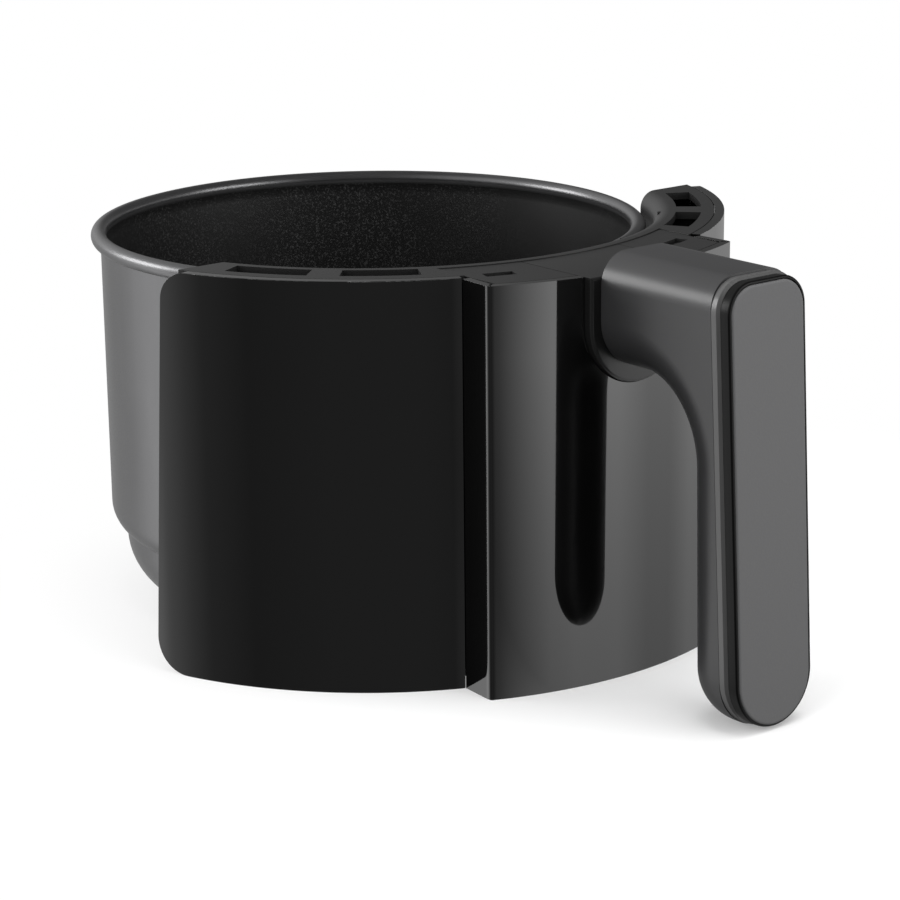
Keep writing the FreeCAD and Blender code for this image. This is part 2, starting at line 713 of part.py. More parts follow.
def make_column_cover():
    """Curved column cover with a round-bottomed notch for the handle's collar."""
    body = new_body("column_shell")
    outer = plane_sketch(body, "column_plan", "XY_Plane")
    column_outline(outer, size(0), -D.column_back)
    solid = pad(body, outer, D.column_height)
    corner_y = -(leg(D.column_radius, D.column_half) + D.column_centre).number
    round_edges(body, solid, "column_corners", D.column_rounding, lambda edge: (
        len(edge.Vertexes) == 2
        and abs(edge.Vertexes[0].Point.x - edge.Vertexes[1].Point.x) < 0.01
        and abs(edge.Vertexes[0].Point.y - corner_y) < 0.01
        and abs(edge.Vertexes[1].Point.y - corner_y) < 0.01))
    inner = plane_sketch(body, "column_hollow", "XY_Plane")
    column_outline(inner, D.column_wall, -D.column_back + 1.0)
    pocket(body, inner, D.column_height + 1.0, flipped=True)
    notch = plane_sketch(body, "column_notch", "XZ_Plane")
    half = D.collar_half + D.fit
    top = D.column_height + 5.0
    outline(notch, (
        (-half, D.collar_axis),
        (half, D.collar_axis, 0, D.collar_axis, 1),
        (half, top),
        (-half, top),
    ))
    pocket(body, notch, 160.0, flipped=True)
    low = D.frame_foot + D.deck + 0.2
    bosses = [rod(f"column_boss_{side}", (x, -D.column_screw_y, low), D.column_boss, 20.0)
              for side, x in COLUMN_SCREW_SIDES]
    pilots = [rod(f"column_pilot_{side}", (x, -D.column_screw_y, 0), D.screw_shank + D.near, 18.0)
              for side, x in COLUMN_SCREW_SIDES]
    return cut("column_cover", fuse("column_joined", [body] + bosses), fuse("column_pilots", pilots))


def make_column_caps():
    """Top plates each side of the collar, each with a window for a snap hook."""
    low = D.column_height - D.cap_thickness
    slab = common("cap_slab",
                  box("cap_box", (D.collar_half + D.fit, -D.column_radius - 20, low),
                      (D.cap_half, -60.0, D.column_height)),
                  rod("cap_disc", (0, -D.column_centre, low - 1), D.column_radius - D.column_wall - D.fit,
                      D.cap_thickness + 2))
    trimmed = cut("cap_trimmed", slab, rod("cap_core", (0, 0, low - 1), D.cap_arc, D.cap_thickness + 2))
    window = radial_box("cap_window", HOOK_ANGLE, D.frame_outer - 2.0, D.window_width, D.window_half,
                        low - 1, D.column_height + 1, centre_y=-D.front_centre)
    right = cut("right_column_cap", trimmed, window)
    return [right, mirrored("left_column_cap", right)]


def make_collar():
    """Round-bottomed sleeve that carries the neck through the column."""
    body = new_body("collar_block")
    outer = plane_sketch(body, "collar_face", "XZ_Plane")
    outline(outer, (
        (-D.collar_half, D.collar_axis),
        (D.collar_half, D.collar_axis, 0, D.collar_axis, 1),
        (D.collar_half, D.column_height),
        (-D.collar_half, D.column_height),
    ))
    solid = pad(body, outer, D.collar_front)
    round_edges(body, solid, "collar_edges", D.collar_rounding, lambda edge: (
        all(abs(vertex.Point.y + D.collar_front.number) < 0.01 for vertex in edge.Vertexes)))
    behind = plane_sketch(body, "collar_behind", "YZ_Plane")
    step = D.seat_high + D.fit
    top_back = -D.cap_arc + 6.0
    outline(behind, ((-D.collar_back, 90.0), (1, 90.0), (1, D.column_height + 1),
                     (top_back, D.column_height + 1), (top_back, step), (-D.collar_back, step)))
    pocket(body, behind, 60.0, both_ways=True)
    bore = plane_sketch(body, "collar_bore", "XZ_Plane")
    half = D.tongue_half + D.fit
    outline(bore, (
        (-half, D.tongue_low - D.fit),
        (half, D.tongue_low - D.fit),
        (half, D.tongue_high + D.fit),
        (-half, D.tongue_high + D.fit),
    ))
    pocket(body, bore, 160.0, flipped=True)
    return cut("handle_collar", body, rod("collar_core", (0, 0, 120.0), D.cap_arc, 25.0))


# ---- handle -------------------------------------------------------------------------

GRIP_SCREWS = (26.0, 74.0, 132.0)


def grip_solid(label, inset, front_depth, back_rounding, top_rounding, root):
    """Neck and grip as one bent bar, moved in by inset, between the neck's root and the plane
    that lies front_depth behind the face."""
    body = new_body(label)
    sketch = plane_sketch(body, f"{label}_side", "YZ_Plane")
    top = D.neck_top - inset
    foot = D.grip_foot + inset
    bottom = D.neck_bottom + inset

    def back_at(height):
        return -(D.grip_back_foot - tangent(D.back_lean) * height) - inset

    def face_at(height):
        return -(D.front_foot - tangent(D.front_lean) * height) + front_depth

    foot_radius = D.back_rounding + 1.0 - inset
    foot_z = foot + foot_radius
    foot_y = back_at(foot_z) - foot_radius / cosine(D.back_lean)
    bend = D.bend_radius + inset
    bend_z = bottom - bend
    bend_y = back_at(bend_z) + bend / cosine(D.back_lean)
    along = cosine(D.back_lean)
    across = sine(D.back_lean)
    outline(sketch, (
        (-root, bottom),
        (-root, top),
        (face_at(top), top),
        (face_at(foot), foot),
        (foot_y, foot),
        (foot_y + foot_radius * along, foot_z - foot_radius * across, foot_y, foot_z, 1),
        (bend_y - bend * along, bend_z + bend * across),
        (bend_y, bottom, bend_y, bend_z, -1),
    ))
    half = D.grip_half - inset
    solid = pad(body, sketch, 2 * half, both_ways=True)

    def on_side(edge):
        return all(abs(abs(vertex.Point.x) - half.number) < 0.01 for vertex in edge.Vertexes)

    def at_root(edge):
        return all(abs(vertex.Point.y + root.number) < 0.01 for vertex in edge.Vertexes)

    def on_face(edge):
        return all(abs(vertex.Point.y - face_at(vertex.Point.z).number) < 0.05 for vertex in edge.Vertexes)

    def is_top(edge):
        return all(abs(vertex.Point.z - top.number) < 0.01 for vertex in edge.Vertexes)

    lower = round_edges(body, solid, f"{label}_back", back_rounding,
                        lambda edge: on_side(edge) and not (at_root(edge) or on_face(edge) or is_top(edge)))
    round_edges(body, lower, f"{label}_top", top_rounding,
                lambda edge: on_side(edge) and is_top(edge) and not at_root(edge))
    return body


def make_handle_body():
    """Hollow neck and grip shell with a tongue for the collar and posts for the bezel's screws."""
    outside = grip_solid("grip_block", size(0), D.shell_depth, D.back_rounding, D.top_rounding, D.neck_root)
    inside = grip_solid("grip_hollow", D.grip_wall, D.shell_depth - 5.0, D.back_rounding - D.grip_wall,
                        D.top_rounding - D.grip_wall, D.neck_root + 4.0)
    posts = [along_screw(f"grip_post_{number}", place, -5.0, D.post_radius, 40.0)
             for number, place in enumerate(GRIP_SCREWS)]
    web_half = D.grip_half - 1.5
    web = box("grip_web", (-web_half, -200.0, GRIP_SCREWS[-1] - D.grip_web_half),
              (web_half, -170.0, GRIP_SCREWS[-1] + D.grip_web_half))
    hollowed = cut("grip_hollowed", outside, cut("grip_space", inside, fuse("grip_posts", posts + [web])))
    tongue = box("neck_tongue", (-D.tongue_half, -D.neck_root - 2.0, D.tongue_low),
                 (D.tongue_half, -D.seat_front - D.near, D.tongue_high))
    bores = [along_screw(f"grip_pilot_{number}", place, -5.0, D.screw_shank + D.near, 25.0)
             for number, place in enumerate(GRIP_SCREWS)]
    bores += [rod(f"tongue_bore_{side}", (x, -D.seat_front + 1.0, D.handle_screw_height),
                  D.handle_shank + D.near, 24.0, Vector(0, -1, 0))
              for side, x in HANDLE_SCREW_SIDES]
    return cut("handle_body", fuse("grip_joined", [hollowed, tongue]), fuse("grip_bores", bores))


def on_face(along, depth):
    """Place on the grip's middle line, a distance along the leaning face and behind it."""
    lean = D.front_lean
    return (0, size(depth) * cosine(lean) + size(along) * sine(lean) - D.front_foot,
            size(along) * cosine(lean) - size(depth) * sine(lean))


def along_screw(label, along, depth, radius, length):
    """A rod square to the grip's face, starting at a depth behind it."""
    return rod(label, on_face(along, depth), radius, length, face_turn().multVec(Vector(0, 1, 0)))


def face_turn():
    """The grip's face leans out towards the floor."""
    return Rotation(Vector(1, 0, 0), -D.front_lean.number)


def face_layer(label, half, foot, top, near, far, top_rounding):
    """A plate along the grip's face, between two depths behind it, with a round foot."""
    body = new_body(label)
    sketch = plane_sketch(body, f"{label}_outline", "XZ_Plane")
    outline(sketch, (
        (-half, foot + half),
        (half, foot + half, 0, foot + half, 1),
        (half, top - top_rounding),
        (half - top_rounding, top, half - top_rounding, top - top_rounding, 1),
        (-half + top_rounding, top),
        (-half, top - top_rounding, -half + top_rounding, top - top_rounding, 1),
    ))
    feature = pad(body, sketch, far - near, flipped=True)
    put(body, *on_face(0, near), turn=face_turn())
    return body, feature


def face_opening(body, name, half, foot, top, depth, top_rounding):
    """Cuts an outline like the grip's out of a face layer, to a depth from its near side."""
    sketch = plane_sketch(body, name, "XZ_Plane")
    outline(sketch, (
        (-half, foot + half),
        (half, foot + half, 0, foot + half, 1),
        (half, top - top_rounding),
        (half - top_rounding, top, half - top_rounding, top - top_rounding, 1),
        (-half + top_rounding, top),
        (-half, top - top_rounding, -half + top_rounding, top - top_rounding, 1),
    ))
    return pocket(body, sketch, depth, flipped=False)


def near_edge(edge):
    """Whether an edge lies on the near side of a face layer."""
    points = [edge.valueAt(edge.FirstParameter), edge.valueAt(edge.LastParameter)]
    return all(abs(point.y) < 0.01 for point in points)


def make_trim_ring():
    """Satin ring with a bevelled front edge, between grip shell and bezel."""
    foot = D.grip_foot + 0.6
    body, solid = face_layer("trim_ring", D.grip_half, foot, D.neck_top - 0.1, D.ring_depth + D.near,
                             D.shell_depth - D.near, D.top_rounding)
    doc.recompute()
    bevel = body.newObject("PartDesign::Chamfer", "ring_bevel")
    bevel.Base = (solid, [f"Edge{number}" for number, edge in enumerate(solid.Shape.Edges, start=1)
                          if near_edge(edge)])
    bind(bevel, Size=D.ring_bevel)
    face_opening(body, "ring_opening", D.grip_half - D.ring_width, foot + D.ring_width,
                 D.neck_top - 0.1 - D.ring_width, 12.0, D.top_rounding - D.ring_width)
    return body


def make_bezel():
    """Gloss bezel: a tray that holds the pad, screwed to the grip shell."""
    half = D.grip_half - 0.9
    body, solid = face_layer("handle_bezel", half, D.grip_foot + 0.8, D.neck_top - 0.9, D.bezel_depth,
                             D.ring_depth, D.top_rounding - 0.5)
    round_edges(body, solid, "bezel_edge", D.bezel_rounding, near_edge)
    face_opening(body, "bezel_tray", D.pad_half + 0.1, D.pad_foot - 0.1, D.pad_top + 0.1, D.tray_depth,
                 D.top_rounding - 1.2)
    sizes = (("bezel_sinks", D.screw_head + 0.1, 3.0), ("bezel_holes", D.screw_shank + 0.15, 12.0))
    for name, radius, depth in sizes:
        holes = plane_sketch(body, name, "XZ_Plane")
        for place in GRIP_SCREWS:
            circle(holes, 0, place, radius)
        pocket(body, holes, depth)
    return body


def make_pad():
    """Matt grip pad with a softly rounded edge, standing just proud of the bezel."""
    body, solid = face_layer("handle_pad", D.pad_half, D.pad_foot, D.pad_top, size(0), D.pad_depth,
                             D.top_rounding - 1.3)
    round_edges(body, solid, "pad_edge", D.pad_rounding, near_edge)
    return body


def seat_back():
    """Flat back of the handle's seat, towards the handle."""
    return D.frame_inner + D.front_centre - 1.0


def make_handle_plate():
    """Steel plate that spreads the handle screws' load on the frame's seat."""
    front = seat_back() - D.near
    plate = box("plate_blank", (-D.load_plate_half, -front, D.seat_low + 2),
                (D.load_plate_half, -front + D.load_plate_sheet, D.seat_high - 2))
    holes = [rod(f"plate_hole_{side}", (x, -front + D.load_plate_sheet + 1, D.handle_screw_height),
                 D.handle_shank + 0.15, 6.0, Vector(0, -1, 0))
             for side, x in HANDLE_SCREW_SIDES]
    return cut("handle_plate", plate, fuse("plate_holes_tool", holes))


# ---- fasteners ----------------------------------------------------------------------

def screw(label, tip_from, direction, head_radius, head_height, shank_radius, length):
    """Pan-head screw: head on the near side of a point, shank along the direction."""
    x, y, z = tip_from
    rise = size(head_height)
    start = (x - rise * direction.x, y - rise * direction.y, z - rise * direction.z)
    head = rod(f"{label}_head", start, head_radius, rise, direction)
    shank = rod(f"{label}_shank", (x, y, z), shank_radius, length, direction)
    return fuse(label, [head, shank])


def make_frame_screws():
    """Four screws from the front through the frame's bosses into the pan bracket."""
    screws = [screw(f"frame_screw_{side}_{level}", (x, -frame_screw_seat(), height), Vector(0, 1, 0),
                    D.screw_head, D.screw_rise, D.screw_shank, 7.5)
              for side, x in FRAME_SCREW_SIDES
              for level, height in enumerate(FRAME_SCREW_HEIGHTS)]
    return group("frame_screws", screws)


def make_wing_screws():
    """Eight screws from inside the frame's wall into the wing covers' bosses."""
    screws = []
    for side, sign in SIDES:
        for number, angle in enumerate(BOSS_ANGLES):
            for level, height in enumerate(BOSS_HEIGHTS):
                x, y = polar(D.frame_inner - 0.1, sign * angle)
                screws.append(screw(f"wing_screw_{number}_{level}_{side}", (x, y, height),
                                    outward(sign * angle), D.screw_head, D.screw_rise, D.screw_shank, 12.0))
    return group("wing_screws", screws)


def make_handle_screws():
    """Two long screws through plate and seat into the neck's tongue."""
    plate_back = seat_back() - D.load_plate_sheet - 2 * D.near
    screws = [screw(f"handle_screw_{side}", (x, -plate_back, D.handle_screw_height), Vector(0, -1, 0),
                    D.handle_head, 2.2, D.handle_shank, 36.0)
              for side, x in HANDLE_SCREW_SIDES]
    return group("handle_screws", screws)


def make_grip_screws():
    """Three screws under the pad that hold bezel and trim ring to the grip shell."""
    screws = [fuse(f"grip_screw_{number}", [
        along_screw(f"grip_screw_{number}_head", place, 2.25, D.screw_head - 0.1, 1.1),
        along_screw(f"grip_screw_{number}_shank", place, 3.3, D.screw_shank, 14.0)])
        for number, place in enumerate(GRIP_SCREWS)]
    return group("grip_screws", screws)


def make_column_screws():
    """Two screws from below through the frame's floor plate into the column cover."""
    screws = [screw(f"column_screw_{side}", (x, -D.column_screw_y, D.frame_foot - D.near), Vector(0, 0, 1),
                    D.screw_head, D.screw_rise, D.screw_shank, 14.0)
              for side, x in COLUMN_SCREW_SIDES]
    return group("column_screws", screws)


# ---- build, check and write ---------------------------------------------------------

def make_all():
    pan = make_pan()
    parts = [pan, make_pan_bracket(), make_crisper_plate(), make_crisper_bumpers(), make_front_frame()]
    parts += make_wing_covers()
    parts.append(make_column_cover())
    parts += make_column_caps()
    parts += [make_collar(), make_handle_body(), make_trim_ring(), make_bezel(), make_pad()]
    parts += [make_handle_plate(), make_frame_screws(), make_wing_screws(), make_column_screws()]
    parts += [make_handle_screws(), make_grip_screws()]
    doc.recompute()
    return parts


def check(parts):
    """Stops on any failed object or bad shape, before anything is written."""
    failed = [item.Label for item in doc.Objects if "Invalid" in item.State or "Error" in item.State]
    if failed:
        raise RuntimeError(f"failed objects: {failed}")
    for part in parts:
        if part.Shape.isNull() or not part.Shape.isValid() or not part.Shape.Solids:
            raise RuntimeError(f"bad shape: {part.Label}")
        reach = part.Shape.optimalBoundingBox(False)
        print(f"{part.Label:18s} solids {len(part.Shape.Solids):2d} volume {part.Shape.Volume / 1000:8.2f} cm3"
              f"  x {reach.XMin:7.1f} {reach.XMax:7.1f}  y {reach.YMin:7.1f} {reach.YMax:7.1f}"
              f"  z {reach.ZMin:6.1f} {reach.ZMax:6.1f}")


def write(parts):
    os.makedirs("parts", exist_ok=True)
    for part in parts:
        part.Shape.exportStep(f"parts/{part.Label}.step")


all_parts = make_all()
check(all_parts)
write(all_parts)
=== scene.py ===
import math
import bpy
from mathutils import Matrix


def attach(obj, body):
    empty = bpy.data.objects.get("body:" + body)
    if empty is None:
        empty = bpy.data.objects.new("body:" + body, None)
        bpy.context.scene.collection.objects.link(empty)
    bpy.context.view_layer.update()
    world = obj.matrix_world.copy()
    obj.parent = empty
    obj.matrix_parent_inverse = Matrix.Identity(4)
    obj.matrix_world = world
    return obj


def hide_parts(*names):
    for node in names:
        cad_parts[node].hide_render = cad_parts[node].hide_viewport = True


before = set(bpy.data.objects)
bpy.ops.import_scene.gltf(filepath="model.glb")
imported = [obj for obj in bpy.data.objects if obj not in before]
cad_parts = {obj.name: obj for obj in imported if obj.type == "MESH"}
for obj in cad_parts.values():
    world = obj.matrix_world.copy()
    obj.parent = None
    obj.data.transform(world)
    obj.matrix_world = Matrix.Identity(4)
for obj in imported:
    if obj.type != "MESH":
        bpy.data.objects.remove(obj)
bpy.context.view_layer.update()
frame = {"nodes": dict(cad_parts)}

import types

import bmesh
import bpy
import numpy as np
from mathutils import Matrix, Vector

bl_info = {
    "name": "Air fryer drawer",
    "version": (1, 0, 0),
    "blender": (4, 5, 0),
    "location": "View3D > Sidebar > Drawer",
    "description": "Builds the drawer of a round air fryer and its studio",
    "category": "Add Mesh",
}

MM = 0.001


# ---- sizes and colours --------------------------------------------------------------

def length(label, note, millimetres):
    """A length property, shown in metres and given in millimetres."""
    return bpy.props.FloatProperty(name=label, description=note, default=millimetres * MM, min=0.0,
                                   precision=4, subtype="DISTANCE", unit="LENGTH")


def angle(label, note, degrees):
    return bpy.props.FloatProperty(name=label, description=note, default=math.radians(degrees),
                                   subtype="ANGLE", unit="ROTATION")


def colour(label, note, grey, tint=0.0):
    """A colour property: a grey with a slight blue tint."""
    return bpy.props.FloatVectorProperty(name=label, description=note, size=3, subtype="COLOR", min=0.0, max=1.0,
                                         default=(grey, grey, grey + tint))


class DrawerSizes(bpy.types.PropertyGroup):
    pan_radius: length("Pan radius", "Outside of the pan's upper wall", 97.4)
    pan_wall: length("Pan sheet", "Sheet thickness of the pan", 1.4)
    bead_ring: length("Rim ring", "Radius of the rolled rim's centre line", 98.0)
    bead_radius: length("Rim roll", "Section radius of the rolled rim", 2.8)
    bead_height: length("Rim height", "Height of the rolled rim's centre line", 132.2)
    shoulder_height: length("Shoulder height", "Where the wall turns in to the shoulder", 33.0)
    shoulder_radius: length("Shoulder radius", "Outside radius of the shoulder", 9.6)
    lower_radius: length("Lower radius", "Outside of the pan's lower wall", 92.1)
    base_corner: length("Base corner", "Outside radius between lower wall and base", 21.0)
    front_centre: length("Front centre", "Arc centre of the front, towards the handle", 4.9)
    cover_radius: length("Cover radius", "Outside arc of the wing covers", 125.4)
    cover_wall: length("Cover wall", "Thickness of the wing covers", 3.3)
    front_height: length("Front height", "Top of the front", 140.0)
    joint_x: length("Joint", "Where wing covers meet the column", 52.7)
    wing_end_top: length("Wing end, top", "Rear edge of a wing at its top", 43.8)
    wing_end_foot: length("Wing end, foot", "Rear edge of a wing at its foot", 37.4)
    wing_corner_top: length("Wing corner, top", "Rounding of the upper rear corner", 10.0)
    wing_corner_foot: length("Wing corner, foot", "Rounding of the lower rear corner", 12.0)
    column_radius: length("Column radius", "Outside arc of the column", 130.3)
    column_centre: length("Column centre", "Arc centre of the column, towards the handle", 14.0)
    column_half: length("Column half width", "Half width at the front corners", 53.6)
    column_back: length("Column back", "Back edge of the side walls", 118.8)
    column_wall: length("Column wall", "Wall of the column cover", 3.0)
    column_height: length("Column height", "Top of the column", 139.7)
    column_rounding: length("Column rounding", "Length of the rolled front corners", 3.6)
    collar_half: length("Collar half width", "Half width of the handle's collar", 21.3)
    collar_axis: length("Collar centre", "Height of the collar's round bottom centre", 123.5)
    collar_front: length("Collar front", "Front of the collar, towards the handle", 146.0)
    grip_half: length("Grip half width", "Half width of the neck and grip", 17.6)
    neck_root: length("Neck root", "Where the neck leaves the collar", 146.2)
    neck_top: length("Neck top", "Top of the neck and grip", 147.4)
    neck_bottom: length("Neck underside", "Underside of the neck", 108.5)
    grip_back_foot: length("Grip back", "Back of the grip, extended to the floor", 183.5)
    grip_foot: length("Grip foot", "Lowest point of the grip", 0.4)
    bend_radius: length("Bend", "Inner bend between neck and grip", 25.0)
    back_rounding: length("Back rounding", "Rounding of the grip's back edges", 17.0)
    top_rounding: length("Top rounding", "Rounding of the grip's top edges", 10.5)
    front_foot: length("Face", "Face of the pad, extended to the floor", 211.6)
    shell_depth: length("Shell depth", "Grip shell ends this far behind the face", 7.5)
    ring_depth: length("Ring depth", "Trim ring ends this far behind the face", 4.2)
    bezel_depth: length("Bezel depth", "Bezel ends this far behind the face", 0.4)
    pad_half: length("Pad half width", "Half width of the front pad", 15.6)
    pad_foot: length("Pad foot", "Lowest point of the pad along the face", 1.9)
    pad_top: length("Pad top", "Highest point of the pad along the face", 145.3)
    back_lean: angle("Back lean", "Lean of the grip's back", 1.4)
    front_lean: angle("Front lean", "Lean of the grip's face", 3.2)


class DrawerColours(bpy.types.PropertyGroup):
    pan: colour("Pan", "Non-stick coating of the pan", 0.15, 0.003)
    pan_inside: colour("Pan inside", "Non-stick coating inside the pan", 0.009)
    crisper: colour("Crisper plate", "Coating of the crisper plate", 0.03)
    gloss: colour("Covers", "Gloss plastic of wings and column", 0.0022)
    frame: colour("Frame", "Moulding inside the front", 0.012)
    collar: colour("Collar", "Sleeve that carries the neck", 0.008)
    grip: colour("Grip", "Neck and grip shell", 0.030, 0.001)
    trim: colour("Trim ring", "Satin ring round the grip", 0.075)
    bezel: colour("Bezel", "Dark bezel of the grip", 0.004)
    pad: colour("Pad", "Matt front pad", 0.120, 0.002)
    steel: colour("Steel", "Bracket, plate and screws", 0.55, 0.01)
    silicone: colour("Silicone", "Bumpers of the crisper plate", 0.02)


def in_millimetres(group):
    """The sizes as plain numbers: lengths in millimetres, angles in radians."""
    values = {}
    for name, prop in group.bl_rna.properties.items():
        if name in ("rna_type", "name"):
            continue
        value = getattr(group, name)
        values[name] = value if prop.unit == "ROTATION" else value / MM
    return types.SimpleNamespace(**values)


# ---- meshes -------------------------------------------------------------------------

def sheet_faces(rows, columns, first):
    """Quads between neighbouring points of a grid whose first point has the given number."""
    index = first + np.arange(rows * columns).reshape(rows, columns)
    quads = np.stack([index[:-1, :-1], index[:-1, 1:], index[1:, 1:], index[1:, :-1]], axis=-1)
    return quads.reshape(-1, 4)


def piece_from_sheets(name, sheets, body="drawer", turn_out=True, sharp=35.0):
    """One object from grids of points in millimetres, each (rows, columns, 3). Edges that the
    grids share are merged, and folds steeper than the sharp angle stay crisp."""
    points = np.concatenate([sheet.reshape(-1, 3) for sheet in sheets]) * MM
    firsts = np.cumsum([0] + [sheet.shape[0] * sheet.shape[1] for sheet in sheets])
    faces = np.concatenate([sheet_faces(sheet.shape[0], sheet.shape[1], first)
                            for sheet, first in zip(sheets, firsts)])
    mesh = bpy.data.meshes.new(name)
    mesh.from_pydata(points.tolist(), [], faces.tolist())
    tidy_mesh(mesh, turn_out, sharp)
    return place(bpy.data.objects.new(name, mesh), body)


def tidy_mesh(mesh, turn_out, sharp):
    """Merges doubles, drops faces with no area, turns faces outwards and shades smooth."""
    work = bmesh.new()
    work.from_mesh(mesh)
    bmesh.ops.remove_doubles(work, verts=work.verts, dist=0.004 * MM)
    bmesh.ops.dissolve_degenerate(work, edges=work.edges, dist=0.002 * MM)
    if turn_out:
        bmesh.ops.recalc_face_normals(work, faces=work.faces)
    work.to_mesh(mesh)
    work.free()
    mesh.polygons.foreach_set("use_smooth", np.ones(len(mesh.polygons), bool))
    mesh.set_sharp_from_angle(angle=math.radians(sharp))


def place(piece, body):
    """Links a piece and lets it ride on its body."""
    bpy.context.scene.collection.objects.link(piece)
    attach(piece, body)
    return piece


def smooth_copy(node, name, body="drawer", sharp=28.0):
    """A copy of a part's own mesh with its triangles joined, so that it shades smoothly."""
    mesh = frame["nodes"][node].data.copy()
    mesh.name = name
    mesh.materials.clear()
    if "custom_normal" in mesh.attributes:
        mesh.attributes.remove(mesh.attributes["custom_normal"])
    tidy_mesh(mesh, False, sharp)
    piece = place(bpy.data.objects.new(name, mesh), body)
    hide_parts(node)
    return piece


def add_wall(piece, thickness, edge):
    """Gives an open sheet its thickness, inwards, and softens its cut edges."""
    wall = piece.modifiers.new("wall", "SOLIDIFY")
    wall.thickness = thickness * MM
    wall.offset = -1.0
    wall.use_even_offset = True
    soften(piece, edge)


def soften(piece, edge):
    rounding = piece.modifiers.new("edge", "BEVEL")
    rounding.width = edge * MM
    rounding.segments = 2
    rounding.limit_method = "ANGLE"
    rounding.angle_limit = math.radians(40)
    rounding.harden_normals = True


def arc(centre, radius, start, end, count):
    """Points on an arc, angles in degrees, anticlockwise when end is larger."""
    turn = np.radians(np.linspace(start, end, count))
    return np.stack([centre[0] + radius * np.cos(turn), centre[1] + radius * np.sin(turn)], axis=-1)


def straight(start, end, count):
    """Points from start to end, closer together near both ends."""
    share = (1 - np.cos(np.linspace(0, np.pi, count))) / 2
    return np.array(start) + share[:, None] * (np.array(end) - np.array(start))


def turned(profile, count):
    """A profile of radius and height carried round the vertical axis."""
    around = np.linspace(0, 2 * np.pi, count + 1)
    radius, height = profile[:, 0][:, None], profile[:, 1][:, None]
    return np.stack([radius * np.cos(around), radius * np.sin(around), height + 0 * around], axis=-1)


def close_end(loop):
    """A fan from a loop of points to its middle."""
    middle = (loop.min(axis=0) + loop.max(axis=0)) / 2
    return np.stack([loop, np.broadcast_to(middle, loop.shape)])


# ---- pan ----------------------------------------------------------------------------

def pan_profile(s):
    """Up the outside and back down the inside: flat base, base corner, lower wall, shoulder
    arc, upper wall and a rolled rim that is three quarters of a circle."""
    corner_x = s.lower_radius - s.base_corner
    shoulder_x = s.pan_radius - s.shoulder_radius
    inner = s.pan_radius - s.pan_wall
    lower_inner = s.lower_radius - s.pan_wall
    crease = math.degrees(math.acos((s.lower_radius - shoulder_x) / s.shoulder_radius))
    inner_shoulder = s.shoulder_radius - s.pan_wall
    inner_crease = math.degrees(math.acos((lower_inner - shoulder_x) / inner_shoulder))
    roll_start = math.degrees(math.acos((s.bead_ring - s.pan_radius) / s.bead_radius)) - 180
    roll_end = 180 + math.degrees(math.acos((s.bead_ring - inner) / s.bead_radius))
    shoulder = (shoulder_x, s.shoulder_height)
    outside = np.concatenate([
        straight((0, 0), (corner_x, 0), 8),
        arc((corner_x, s.base_corner), s.base_corner, -90, 0, 16),
        arc(shoulder, s.shoulder_radius, -crease, 0, 10),
        straight((s.pan_radius, s.shoulder_height), (s.pan_radius, s.bead_height - s.bead_radius), 10)[:-1],
    ])
    rim = arc((s.bead_ring, s.bead_height), s.bead_radius, roll_start, roll_end, 26)
    inside = np.concatenate([
        straight((inner, s.bead_height - s.bead_radius), (inner, s.shoulder_height), 10)[1:-1],
        arc(shoulder, inner_shoulder, 0, -inner_crease, 10),
        arc((corner_x, s.base_corner), s.base_corner - s.pan_wall, 0, -90, 14),
        straight((corner_x, s.pan_wall), (0, s.pan_wall), 8),
    ])
    return np.concatenate([outside, rim, inside])


class OBJECT_OT_drawer_pan(bpy.types.Operator):
    """Pressed round pan with its rolled rim"""
    bl_idname = "drawer.pan"
    bl_label = "Pan"

    def execute(self, context):
        s = in_millimetres(context.scene.drawer_sizes)
        pan = piece_from_sheets("pan_shell", [turned(pan_profile(s), 240)], sharp=50.0)
        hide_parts("pan")
        paint(pan, pan_coating(context.scene.drawer_colours, s))
        return {"FINISHED"}


class OBJECT_OT_drawer_crisper(bpy.types.Operator):
    """Crisper plate with its vent holes, and its silicone bumpers"""
    bl_idname = "drawer.crisper"
    bl_label = "Crisper plate"

    def execute(self, context):
        colours = context.scene.drawer_colours
        plate = smooth_copy("crisper_plate", "vented_plate", body="crisper")
        paint(plate, plate_coating(colours))
        bumpers = smooth_copy("crisper_bumpers", "plate_bumpers", body="crisper")
        paint(bumpers, silicone(colours))
        return {"FINISHED"}


# ---- front --------------------------------------------------------------------------

def wing_sheet(s, side):
    """Part of a cylinder about the front's centre. Its height rows follow the rear corners'
    arcs, and in each row the angle runs from the joint to the rear edge of that height."""
    foot_arc = arc((-s.wing_end_foot - s.wing_corner_foot, s.wing_corner_foot), s.wing_corner_foot, -90, 2, 14)
    top_arc = arc((-s.wing_end_top - s.wing_corner_top, s.front_height - s.wing_corner_top),
                  s.wing_corner_top, 3, 90, 14)
    edge = np.concatenate([foot_arc, straight(foot_arc[-1], top_arc[0], 18)[1:-1], top_arc])
    start = math.asin(s.joint_x / s.cover_radius)
    end = np.arccos((-edge[:, 0] - s.front_centre) / s.cover_radius)
    share = np.linspace(0, 1, 60)
    turn = start + (end[:, None] - start) * share
    x = side * s.cover_radius * np.sin(turn)
    y = -s.front_centre - s.cover_radius * np.cos(turn)
    sheet = np.stack([x, y, np.broadcast_to(edge[:, 1][:, None], x.shape)], axis=-1)
    return sheet if side > 0 else sheet[:, ::-1]


